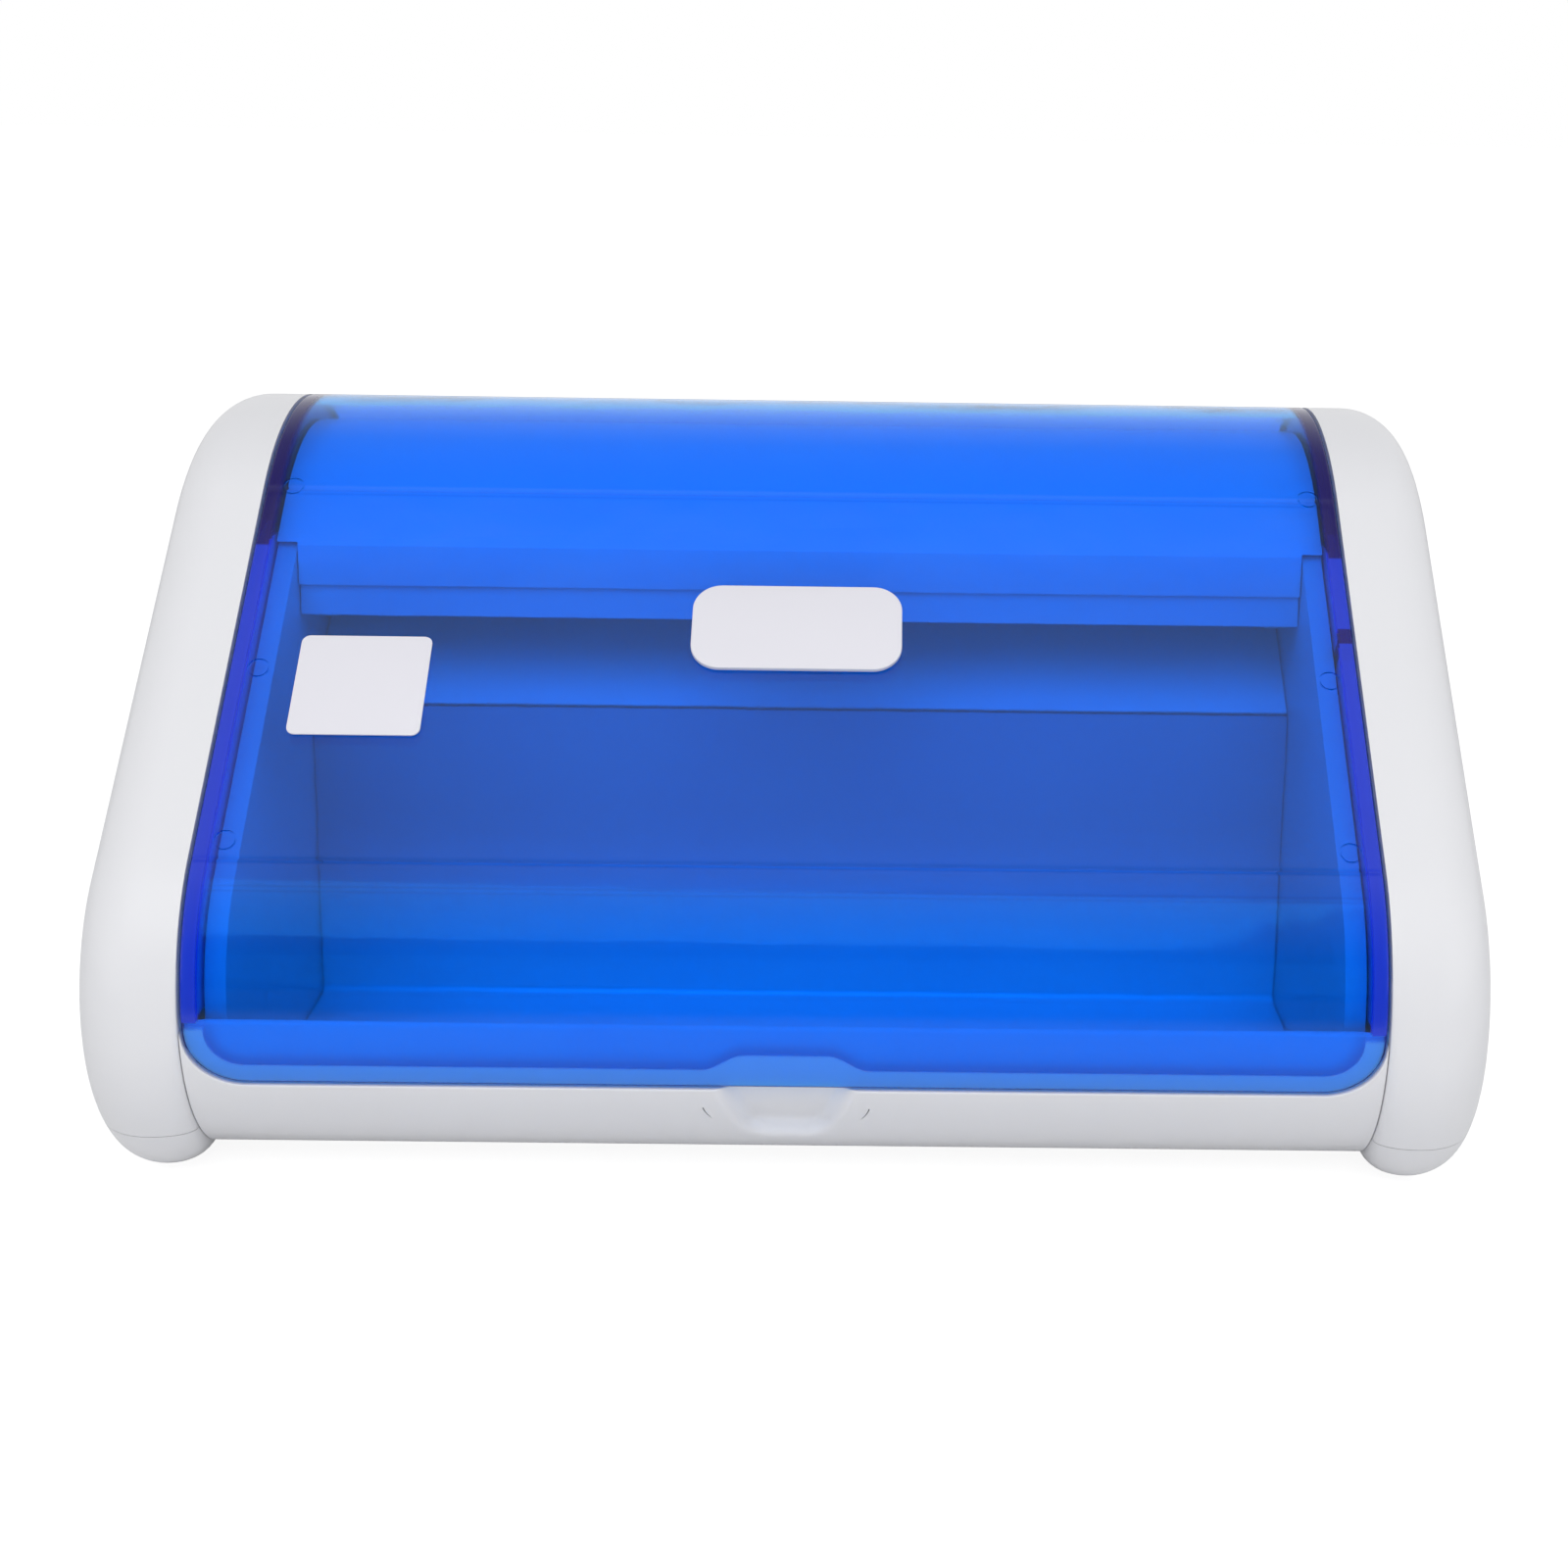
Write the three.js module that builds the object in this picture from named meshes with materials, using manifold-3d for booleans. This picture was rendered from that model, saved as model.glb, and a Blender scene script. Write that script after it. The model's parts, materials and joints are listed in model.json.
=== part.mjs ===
import * as THREE from 'three';
import { mergeVertices } from 'three/addons/utils/BufferGeometryUtils.js';
import Module from 'manifold-3d';

const wasm = await Module();
wasm.setup();

// Ultraviolet sterilizer box. Lengths are millimetres. While it is drawn, X runs across from the
// middle, Y runs back from the nose of the cover and Z runs up from the table. Profiles are drawn
// in the Y, Z plane. The finished group is then centred on the table.

// Side outline that the cover and the housing share: nose, slope, crown and rear turn
const noseRadius = 52.4;
const noseDropShare = 0.878;
const slopeAngle = THREE.MathUtils.degToRad(40.65);
const slopeLength = 130.5;
const crownRadius = 88;
const rearRadius = 28;
const rearTurnAngle = THREE.MathUtils.degToRad(80);

// Cheeks: the two end caps of the housing
const cheekSwell = 12;
const cheekEdgeRadius = 18;
const cheekNoseStand = 5.6;
const cheekRearStand = 3.5;
const cheekToeRadius = 24;
const cheekHeelRadius = 24;
const cheekLowest = 1.2;
const cheekSole = 2.4;
const cheekSplitHeight = 18;
const cheekWall = 2.2;
const cheekBossRadius = 4.5;
const cheekBossShares = [
  { depth: 0.287, height: 0.348 },
  { depth: 0.741, height: 0.587 },
];

// Clearances
const seatGap = 0.3;
const overrun = 3;

// Pan, side plates and panels
const panUnderside = 9;
const panWall = 2.2;
const panRibWall = 2;
const panRibSpacing = 88;
const panRibEndGap = 8;
const panSlotWidth = 3;
const panSlotLength = 32;
const panSlotSpacing = 9;
const panSlotCount = 6;
const panBossRadius = 5.5;
const panBossHeight = 4;
const sidePlateWall = 2.2;
const sidePostWidth = 9;
const sidePostShares = [0.287, 0.764];
const sidePostTop = 40;
const rearPostWidth = 10;
const rearPostDepth = 12;
const rearPostShares = [0.24, 0.766];
const rearPanelWall = 2.2;
const rearPanelBelowHinge = 5;
const rearPanelCorner = 5;
const ventWidth = 3;
const ventHeight = 26;
const ventSpacing = 8;
const ventCount = 9;
const ventCentreX = 60;
const ventCentreHeight = 108;

// Front panel: the strip, the low wall behind the cover and the finger scoop
const frontWallTop = 54;
const stripWall = 2.5;
const coverRecess = 4.2;
const frontWallThickness = 2.5;
const stripShelfThickness = 4.5;
const scoopHalfWidth = 21.5;
const scoopHalfHeight = 15.5;
const scoopDepth = 7;
const scoopBelowEdge = 5.5;

// Cover
const coverSideGap = 0.8;
const coverWall = 3.2;
const coverLowEdge = 36;
const coverCornerRadius = 16;
const coverTailAngle = THREE.MathUtils.degToRad(-15);
const flangeWall = 3.2;
const flangeDepth = 14;
const hubRadius = 18;
const pinRadius = 3;
const pinHeadRadius = 5;
const pinHeadThickness = 1.6;
const pinReach = 7;
const plateWidth = 61;
const plateLength = 30;
const plateCorner = 8.5;
const plateThickness = 1.2;
const platePlace = 80;
const labelWidth = 37.5;
const labelLength = 34.5;
const labelCorner = 2.5;
const labelThickness = 0.5;
const labelPlace = 58;
const labelCentreX = -123.5;

// Chamber: side frames, hood, liner and reflector
const frameSideGap = 1;
const frameWidth = 6;
const frameWall = 2;
const frameAheadOfHinge = 13;
const hoodInset = 8;
const hoodWall = 2;
const hoodAheadOfLamp = 29.5;
const hoodLipBelowLamp = 5.5;
const hoodStepAboveLamp = 4;
const hoodStep = 1.6;
const linerWall = 0.8;
const linerRise = 6;
const linerAheadOfLamp = 18;
const linerBelowLamp = 36;
const linerFrontInset = 10.6;
const linerTopGap = 3;
const linerToeDepth = 25;
const reflectorWall = 0.8;
const reflectorRadius = 19;
const leadHoleRadius = 2.6;

// Lamp: an 8 W bi-pin tube
const lampAheadOfHinge = 45;
const lampBelowHinge = 25;
const lampLength = 288.3;
const lampRadius = 7.75;
const lampCapRadius = 8.1;
const lampCapLength = 10;
const lampPinRadius = 1.2;
const lampPinSpacing = 4.75;
const lampPinLength = 6.4;
const holderLength = 6.75;
const holderHalfWidth = 8.5;
const holderTop = 14.5;
const holderBottom = 10;
const holderBoreRadius = 4.3;
const holderSlotWidth = 3.4;

// Electrical pieces behind the chamber
const ballastLength = 150;
const ballastWidth = 38;
const ballastHeight = 28;
const ballastCorner = 3;
const ballastCentreX = -40;
const ballastBehindLamp = 18;
const ballastFootLength = 12;
const ballastFootThickness = 1.6;
const starterRadius = 10.7;
const starterHeight = 36;
const starterSideGap = 2;
const starterBehindLamp = 10;
const starterSocketWidth = 26;
const starterSocketHeight = 9;
const starterSeatDepth = 4;
const terminalLength = 34;
const terminalWidth = 17;
const terminalHeight = 14;
const terminalSideGap = 16;
const terminalBehindLamp = 10;
const terminalHoleCount = 3;
const terminalHoleRadius = 2;
const leadRadius = 1.4;
const leadBend = 5;
const leadSides = 6;

// Rear fittings
const fittingOffset = 10;
const switchHeight = 62;
const switchBodyHalfWidth = 6.6;
const switchBodyHalfHeight = 9.7;
const switchBodyDepth = 15;
const switchFlangeHalfWidth = 7.6;
const switchFlangeHalfHeight = 10.7;
const switchFlangeThickness = 1.8;
const rockerHalfWidth = 5;
const rockerHalfHeight = 7.6;
const rockerPivotDepth = 2;
const rockerCrest = 5.6;
const rockerDip = 4.2;
const rockerRootDepth = 4;
const rockerRootHalfHeight = 3.6;
const rockerRestTilt = THREE.MathUtils.degToRad(11);
const rockerSideGap = 0.35;
const rockerEndGap = 0.4;
const trunnionRadius = 1.2;
const trunnionReach = 1.1;
const inletHeight = 30;
const inletHalfWidth = 9.4;
const inletHalfHeight = 5.6;
const inletWall = 1.4;
const inletDepth = 13;
const inletFlangeMargin = 3;
const inletFlangeThickness = 1.8;
const inletPinRadius = 1.15;
const inletPinSpacing = 8.6;
const inletPinLength = 9;

// Interlock switch beside the right side frame, pressed by the flange of the cover
const interlockPlace = 88;
const interlockHalfLength = 9;
const interlockGap = 5;
const interlockDepth = 10;
const interlockWall = 0.6;
const plungerHalfLength = 1.8;
const plungerSink = 3;
const plungerTravelRoom = 3.6;

// Screws and feet
const screwRadius = 1.2;
const screwHoleRadius = 1.55;
const screwHeadRadius = 2.9;
const screwHeadThickness = 1.5;
const screwReach = 8;
const footRadius = 6;
const footStemRadius = 2.4;
const footStemLength = 4.6;
const footShares = [0.213, 0.843];

// Steps on curves
const arcStep = THREE.MathUtils.degToRad(9);
const cheekSteps = { nose: 10, crown: 5, turn: 6, toe: 3, swell: 3, edge: 4 };
const drumSides = 80;
const pegSides = 10;
const weldDistance = 0.0005;

// Frame of the outline
const slopeRun = new THREE.Vector2(Math.cos(slopeAngle), Math.sin(slopeAngle));
const slopeNormal = new THREE.Vector2(-slopeRun.y, slopeRun.x);
const slopeNormalAngle = slopeAngle + Math.PI / 2;
const noseHeight = panUnderside + noseRadius * noseDropShare;
const noseCentre = new THREE.Vector2(noseRadius, noseHeight);
const slopeFoot = noseCentre.clone().addScaledVector(slopeNormal, noseRadius);
const slopeHead = slopeFoot.clone().addScaledVector(slopeRun, slopeLength);
const crownCentre = slopeHead.clone().addScaledVector(slopeNormal, -crownRadius);
const rearTurn = new THREE.Vector2(Math.cos(rearTurnAngle), Math.sin(rearTurnAngle));
const hinge = crownCentre.clone().addScaledVector(rearTurn, crownRadius - rearRadius);
const cheekRearRadius = rearRadius + cheekRearStand;
const cheekRearCentre = crownCentre.clone().addScaledVector(rearTurn, crownRadius - cheekRearRadius);
const rearFace = cheekRearCentre.x + cheekRearRadius;
const rearInnerFace = rearFace - rearPanelWall;

// Stations across the width, from the lamp outwards
const lampHalf = lampLength / 2;
const chamberHalfWidth = lampHalf + seatGap + holderLength;
const holderCentreX = chamberHalfWidth - holderLength / 2;
const frameInner = chamberHalfWidth + seatGap;
const frameOuter = frameInner + frameWidth;
const flangeInner = frameOuter + frameSideGap;
const coverHalfWidth = flangeInner + flangeWall;
const cheekInnerFace = coverHalfWidth + coverSideGap;
const panelHalfWidth = cheekInnerFace - seatGap;
const rearScrewX = cheekInnerFace - rearPostWidth / 2;
const sidePlateOuter = cheekInnerFace + sidePlateWall;
const sidePostCentreX = sidePlateOuter + sidePostWidth / 2;
const footCentreX = cheekInnerFace + cheekSwell;
const bodyHalfWidth = cheekInnerFace + cheekSwell + cheekEdgeRadius;

// Electrical pieces stand side by side behind the chamber
const ballastReach = ballastLength / 2 + ballastFootLength;
const starterX = ballastCentreX + ballastReach + starterSideGap + starterSocketWidth / 2;
const terminalX = starterX + starterSocketWidth / 2 + terminalSideGap + terminalLength / 2;
const switchX = terminalX + fittingOffset;
const inletX = terminalX + fittingOffset;

// Stations from front to back and upwards
const crownTop = crownCentre.y + crownRadius;
const panFloor = panUnderside + panWall;
const panFront = noseRadius - Math.sqrt((noseRadius - stripWall) ** 2
  - (noseHeight - panUnderside) ** 2) + seatGap;
const panRear = rearInnerFace - seatGap;
const rearPanelTop = hinge.y - rearPanelBelowHinge;
const stripShelfHeight = coverLowEdge - stripShelfThickness;
const scoopHeight = coverLowEdge - scoopBelowEdge;
const coverCorner = Math.min(coverCornerRadius, frontWallTop - coverLowEdge);
const frameInset = hoodInset + hoodWall + seatGap;
const frameRearDepth = hinge.x - frameAheadOfHinge;
const lampAxis = new THREE.Vector2(hinge.x - lampAheadOfHinge, hinge.y - lampBelowHinge);
const lampDepth = lampAxis.x;
const lampHeight = lampAxis.y;
const hoodFrontDepth = lampDepth - hoodAheadOfLamp;
const linerFloor = panFloor + linerRise;
const linerBackDepth = lampDepth - linerAheadOfLamp;
const ballastDepth = lampDepth + ballastBehindLamp;
const ballastMiddle = ballastDepth + ballastWidth / 2;
const starterDepth = lampDepth + starterBehindLamp;
const terminalDepth = lampDepth + terminalBehindLamp;
const interlockTop = flangeDepth + interlockGap;
const plungerBottom = interlockTop + plungerSink;
const sidePostPlaces = sidePostShares.map((share) => share * rearFace);
const footPlaces = footShares.map((share) => share * rearFace);
const rearPostHeights = rearPostShares.map((share) => share * rearPanelTop);
const cheekBossPlaces = cheekBossShares.map(({ depth, height }) => (
  { depth: depth * rearFace, height: height * crownTop }
));

function yz(depth, height) {
  return new THREE.Vector2(depth, height);
}

// Points of an arc, both ends included, at the usual step or in a fixed count of steps
function arc(centre, radius, from, to, count = 0) {
  const steps = count || Math.max(2, Math.round(Math.abs(to - from) / arcStep));
  const points = [];
  for (let i = 0; i <= steps; i++) {
    const angle = from + (to - from) * i / steps;
    points.push(yz(centre.x + radius * Math.cos(angle), centre.y + radius * Math.sin(angle)));
  }
  return points;
}

// One outline from several runs, without repeated points
function joined(...runs) {
  const points = [];
  for (const point of runs.flat()) {
    if (points.length === 0 || points.at(-1).distanceTo(point) > weldDistance) {
      points.push(point);
    }
  }
  return points;
}

function slopePoint(along, inset) {
  return slopeFoot.clone().addScaledVector(slopeRun, along).addScaledVector(slopeNormal, -inset);
}

function slopeHeightAt(depth, inset) {
  const start = slopePoint(0, inset);
  return start.y + (depth - start.x) * Math.tan(slopeAngle);
}

// Angle on the nose circle, on its front side, at a height above the table
function noseAngle(height, inset) {
  return Math.PI + Math.asin((noseHeight - height) / (noseRadius - inset));
}

function nosePoint(height, inset) {
  const angle = noseAngle(height, inset);
  const reach = noseRadius - inset;
  return yz(noseCentre.x + reach * Math.cos(angle), noseCentre.y + reach * Math.sin(angle));
}

// The shared outline at an inset, from an angle on the nose to an angle on the rear turn
function shellPath(inset, fromAngle, toAngle) {
  return joined(
    arc(noseCentre, noseRadius - inset, fromAngle, slopeNormalAngle),
    arc(crownCentre, crownRadius - inset, slopeNormalAngle, rearTurnAngle),
    arc(hinge, rearRadius - inset, rearTurnAngle, toAngle),
  );
}

// Closed outline of a bent sheet: the path and its copy on the right-hand side of travel
function sheetOutline(path, thickness) {
  const last = path.length - 1;
  const inner = path.map((point, i) => {
    const arriving = point.clone().sub(path[Math.max(i - 1, 0)]).normalize();
    const leaving = path[Math.min(i + 1, last)].clone().sub(point).normalize();
    const first = i > 0 ? arriving : leaving;
    const second = i < last ? leaving : arriving;
    const turn = first.clone().add(second).normalize();
    const reach = thickness / turn.dot(first);
    return yz(point.x + turn.y * reach, point.y - turn.x * reach);
  });
  return [...path, ...inner.reverse()];
}

function roundedRectangle(halfWidth, halfHeight, corner) {
  const quarters = [
    [1, 1, 0],
    [-1, 1, Math.PI / 2],
    [-1, -1, Math.PI],
    [1, -1, Math.PI * 1.5],
  ];
  const points = joined(...quarters.map(([sideX, sideY, start]) => arc(
    yz(sideX * (halfWidth - corner), sideY * (halfHeight - corner)),
    corner, start, start + Math.PI / 2,
  )));
  return points[0].distanceTo(points.at(-1)) > weldDistance ? points : points.slice(1);
}

// Closed mesh of three.js into a solid that can be cut and joined
function solidOf(geometry) {
  const bare = geometry.clone();
  bare.deleteAttribute('normal');
  bare.deleteAttribute('uv');
  const welded = mergeVertices(bare, weldDistance);
  return new wasm.Manifold(new wasm.Mesh({
    numProp: 3,
    vertProperties: Float32Array.from(welded.attributes.position.array),
    triVerts: Uint32Array.from(welded.index.array),
  }));
}

function geometryOf(solid) {
  const mesh = solid.getMesh();
  const positions = new Float32Array(mesh.numVert * 3);
  for (let i = 0; i < mesh.numVert; i++) {
    positions.set(mesh.vertProperties.subarray(i * mesh.numProp, i * mesh.numProp + 3), i * 3);
  }
  const geometry = new THREE.BufferGeometry();
  geometry.setAttribute('position', new THREE.BufferAttribute(positions, 3));
  geometry.setIndex(Array.from(mesh.triVerts));
  geometry.computeVertexNormals();
  return geometry;
}

function join(first, ...others) {
  return others.reduce((sum, other) => sum.add(other), first);
}

function cut(body, ...tools) {
  return tools.reduce((rest, tool) => rest.subtract(tool), body);
}

function extruded(points, length) {
  return new THREE.ExtrudeGeometry(new THREE.Shape(points), { depth: length, bevelEnabled: false });
}

// A profile of Y, Z points, extruded across from one X to another
function prism(points, fromX, toX) {
  const geometry = extruded(points, toX - fromX);
  const turn = new THREE.Matrix4().makeBasis(
    new THREE.Vector3(0, 1, 0), new THREE.Vector3(0, 0, 1), new THREE.Vector3(1, 0, 0),
  );
  geometry.applyMatrix4(turn);
  geometry.translate(fromX, 0, 0);
  return solidOf(geometry);
}

// A front view of X, Z points, extruded back from one Y to another
function plate(points, fromY, toY) {
  const geometry = extruded(points, toY - fromY);
  geometry.rotateX(Math.PI / 2);
  geometry.translate(0, toY, 0);
  return solidOf(geometry);
}

// A view from above the slope: X and distance along it, extruded outwards from its surface
function slopePlate(points, lift, thickness) {
  const geometry = extruded(points, thickness);
  const start = slopePoint(0, -lift);
  geometry.applyMatrix4(new THREE.Matrix4().makeBasis(
    new THREE.Vector3(1, 0, 0),
    new THREE.Vector3(0, slopeRun.x, slopeRun.y),
    new THREE.Vector3(0, slopeNormal.x, slopeNormal.y),
  ));
  geometry.translate(0, start.x, start.y);
  return solidOf(geometry);
}

function block(xs, ys, zs) {
  const geometry = new THREE.BoxGeometry(xs[1] - xs[0], ys[1] - ys[0], zs[1] - zs[0]);
  geometry.translate((xs[0] + xs[1]) / 2, (ys[0] + ys[1]) / 2, (zs[0] + zs[1]) / 2);
  return solidOf(geometry);
}

function pegX(centre, radius, fromX, toX, sides = pegSides) {
  const geometry = new THREE.CylinderGeometry(radius, radius, toX - fromX, sides);
  geometry.rotateZ(Math.PI / 2);
  geometry.translate((fromX + toX) / 2, centre.x, centre.y);
  return solidOf(geometry);
}

function pegY(x, z, radius, fromY, toY) {
  const geometry = new THREE.CylinderGeometry(radius, radius, toY - fromY, pegSides);
  geometry.translate(x, (fromY + toY) / 2, z);
  return solidOf(geometry);
}

function pegZ(x, y, radius, fromZ, toZ, sides = pegSides) {
  const geometry = new THREE.CylinderGeometry(radius, radius, toZ - fromZ, sides);
  geometry.rotateX(Math.PI / 2);
  geometry.translate(x, y, (fromZ + toZ) / 2);
  return solidOf(geometry);
}

// Everything between two heights, used to split pieces
function layer(fromZ, toZ) {
  const reach = bodyHalfWidth + rearFace;
  return block([-reach, reach], [-reach, reach], [fromZ, toZ]);
}

// A copy on the other side of the middle plane
function mirrored(solid) {
  const geometry = geometryOf(solid);
  geometry.scale(-1, 1, 1);
  const order = geometry.index.array;
  for (let i = 0; i < order.length; i += 3) {
    [order[i], order[i + 1]] = [order[i + 1], order[i]];
  }
  return solidOf(geometry);
}

function onSide(side, solid) {
  return side > 0 ? solid : mirrored(solid);
}

// Side view of a cheek. It swells from the shared outline at share 0 to its own at share 1
function cheekOutline(swellShare, inset) {
  const mix = (inner, outer) => THREE.MathUtils.lerp(inner, outer, swellShare);
  const fullRadius = mix(noseRadius, noseRadius + cheekNoseStand);
  const centre = slopeFoot.clone().addScaledVector(slopeNormal, -fullRadius);
  const lowest = mix(panUnderside, cheekLowest);
  const toeHeight = lowest + cheekToeRadius;
  const toeReach = fullRadius - cheekToeRadius;
  const toe = yz(centre.x - Math.sqrt(toeReach ** 2 - (centre.y - toeHeight) ** 2), toeHeight);
  const toeAngle = Math.PI + Math.atan2(centre.y - toe.y, centre.x - toe.x);
  const heel = yz(rearFace - cheekHeelRadius, lowest + cheekHeelRadius);
  return [
    ...arc(centre, fullRadius - inset, toeAngle, slopeNormalAngle, cheekSteps.nose),
    ...arc(crownCentre, crownRadius - inset, slopeNormalAngle, rearTurnAngle, cheekSteps.crown),
    ...arc(cheekRearCentre, cheekRearRadius - inset, rearTurnAngle, 0, cheekSteps.turn),
    ...arc(heel, cheekHeelRadius - inset, 0, -Math.PI / 2, cheekSteps.turn),
    ...arc(toe, cheekToeRadius - inset, -Math.PI / 2, toeAngle - Math.PI * 2, cheekSteps.toe),
  ];
}

// Closed skin through rings of equal point counts, each ring at its own X
function loft(rings) {
  const count = rings[0].points.length;
  const positions = [];
  for (const ring of rings) {
    for (const point of ring.points) {
      positions.push(ring.x, point.x, point.y);
    }
  }
  const order = [];
  for (let k = 0; k + 1 < rings.length; k++) {
    for (let i = 0; i < count; i++) {
      const a = k * count + i;
      const b = k * count + (i + 1) % count;
      order.push(a, b + count, b, a, a + count, b + count);
    }
  }
  const end = (rings.length - 1) * count;
  for (let i = 1; i + 1 < count; i++) {
    order.push(0, i, i + 1, end, end + i + 1, end + i);
  }
  const geometry = new THREE.BufferGeometry();
  geometry.setAttribute('position', new THREE.Float32BufferAttribute(positions, 3));
  geometry.setIndex(order);
  return solidOf(geometry);
}

// The cheek's outside at inset 0, or the hollow inside it at the wall's thickness
function cheekBody(inset, startX) {
  const rings = [];
  if (startX < cheekInnerFace) {
    rings.push({ x: startX, points: cheekOutline(0, inset) });
  }
  for (let i = 0; i <= cheekSteps.swell; i++) {
    const angle = Math.PI / 2 * i / cheekSteps.swell;
    rings.push({
      x: cheekInnerFace + cheekSwell * (1 - Math.cos(angle)),
      points: cheekOutline(Math.sin(angle), inset),
    });
  }
  const edge = cheekEdgeRadius - inset;
  for (let i = 1; i <= cheekSteps.edge; i++) {
    const angle = Math.PI / 2 * i / cheekSteps.edge;
    rings.push({
      x: cheekInnerFace + cheekSwell + edge * Math.sin(angle),
      points: cheekOutline(1, inset + edge * (1 - Math.cos(angle))),
    });
  }
  return loft(rings);
}

const cheekOutside = cheekBody(0, cheekInnerFace);
const cheekHollow = cheekBody(cheekWall, cheekInnerFace - overrun);

function cheekShell() {
  const above = layer(cheekSplitHeight + seatGap / 2, crownTop + overrun);
  const skin = cut(cheekOutside, cheekHollow).intersect(above);
  const bossStart = sidePlateOuter + seatGap;
  const bossEnd = bodyHalfWidth - cheekWall / 2;
  const bosses = cheekBossPlaces.map(({ depth, height }) => cut(
    pegX(yz(depth, height), cheekBossRadius, bossStart, bossEnd),
    pegX(yz(depth, height), screwHoleRadius, bossStart - overrun, bossStart + screwReach + seatGap),
  ));
  return join(skin, ...bosses);
}

function footHoleCutters() {
  return footPlaces.map((depth) => pegZ(
    footCentreX, depth, footStemRadius + seatGap, -overrun, cheekSplitHeight,
  ));
}

// The lower end of one cheek, moulded with the pan
function panCap() {
  const range = layer(cheekSole, cheekSplitHeight - seatGap / 2);
  const hollow = cheekHollow.intersect(layer(cheekSole + cheekWall, rearFace));
  const cap = cut(cheekOutside.intersect(range), hollow);
  const bossTop = cheekSole + cheekWall + panBossHeight;
  const bosses = sidePostPlaces.map((depth) => pegZ(
    sidePostCentreX, depth, panBossRadius, cheekSole, bossTop,
  ).intersect(cheekOutside));
  const bores = sidePostPlaces.map((depth) => pegZ(
    sidePostCentreX, depth, screwHoleRadius, -overrun, bossTop + overrun,
  ));
  const sinks = sidePostPlaces.map((depth) => pegZ(
    sidePostCentreX, depth, screwHeadRadius + seatGap, -overrun, cheekSole + screwHeadThickness,
  ));
  return cut(join(cap, ...bosses), ...bores, ...sinks, ...footHoleCutters());
}

function basePan() {
  const reach = cheekInnerFace + cheekWall / 2;
  const floor = block([-reach, reach], [panFront, panRear], [panUnderside, panFloor]);
  const ribTop = linerFloor - linerWall - seatGap;
  const ribs = [-1, 0, 1].map((place) => block(
    [place * panRibSpacing - panRibWall / 2, place * panRibSpacing + panRibWall / 2],
    [panFront + panRibEndGap, linerBackDepth - panRibEndGap],
    [panFloor - panWall / 2, ribTop],
  ));
  const slots = [];
  for (let i = 0; i < panSlotCount; i++) {
    const x = ballastCentreX - ballastLength / 4 + (i - (panSlotCount - 1) / 2) * panSlotSpacing;
    slots.push(block(
      [x - panSlotWidth / 2, x + panSlotWidth / 2],
      [ballastMiddle - panSlotLength / 2, ballastMiddle + panSlotLength / 2],
      [0, panFloor + overrun],
    ));
  }
  const screwHoles = ballastScrewPlaces().map(([x, y]) => pegZ(
    x, y, screwHoleRadius, 0, panFloor + overrun,
  ));
  const cap = panCap();
  return cut(join(floor, cap, mirrored(cap), ...ribs), ...slots, ...screwHoles);
}

// Plate that closes the inner side of a cheek and carries the hinge pin
function sidePlate() {
  const outline = cheekOutline(0, cheekWall + seatGap);
  const sheet = prism(outline, cheekInnerFace, sidePlateOuter);
  const postFoot = cheekSole + cheekWall + panBossHeight + seatGap;
  const posts = sidePostPlaces.map((depth) => block(
    [sidePlateOuter - sidePlateWall / 2, sidePlateOuter + sidePostWidth],
    [depth - sidePostWidth / 2, depth + sidePostWidth / 2],
    [panFloor + panWall, sidePostTop],
  ));
  const stems = sidePostPlaces.map((depth) => pegZ(
    sidePostCentreX, depth, panBossRadius - panWall / 2, postFoot, sidePostTop - panWall,
  ));
  const stemBores = sidePostPlaces.map((depth) => pegZ(
    sidePostCentreX, depth, screwHoleRadius, 0, postFoot + screwReach,
  ));
  const rearPosts = rearPostHeights.map((height) => block(
    [cheekInnerFace - rearPostWidth, cheekInnerFace + sidePlateWall / 2],
    [panRear - rearPostDepth, panRear],
    [height - rearPostWidth / 2, height + rearPostWidth / 2],
  ));
  const rearBores = rearPostHeights.map((height) => pegY(
    rearScrewX, height, screwHoleRadius, panRear - screwReach - seatGap, rearFace,
  ));
  const cheekHoles = cheekBossPlaces.map(({ depth, height }) => pegX(
    yz(depth, height), screwHoleRadius, 0, bodyHalfWidth,
  ));
  const pinHole = pegX(hinge, pinRadius + seatGap, cheekInnerFace - overrun, bodyHalfWidth);
  return cut(join(sheet, ...posts, ...stems, ...rearPosts), ...stemBores, ...rearBores,
    ...cheekHoles, pinHole);
}

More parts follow.
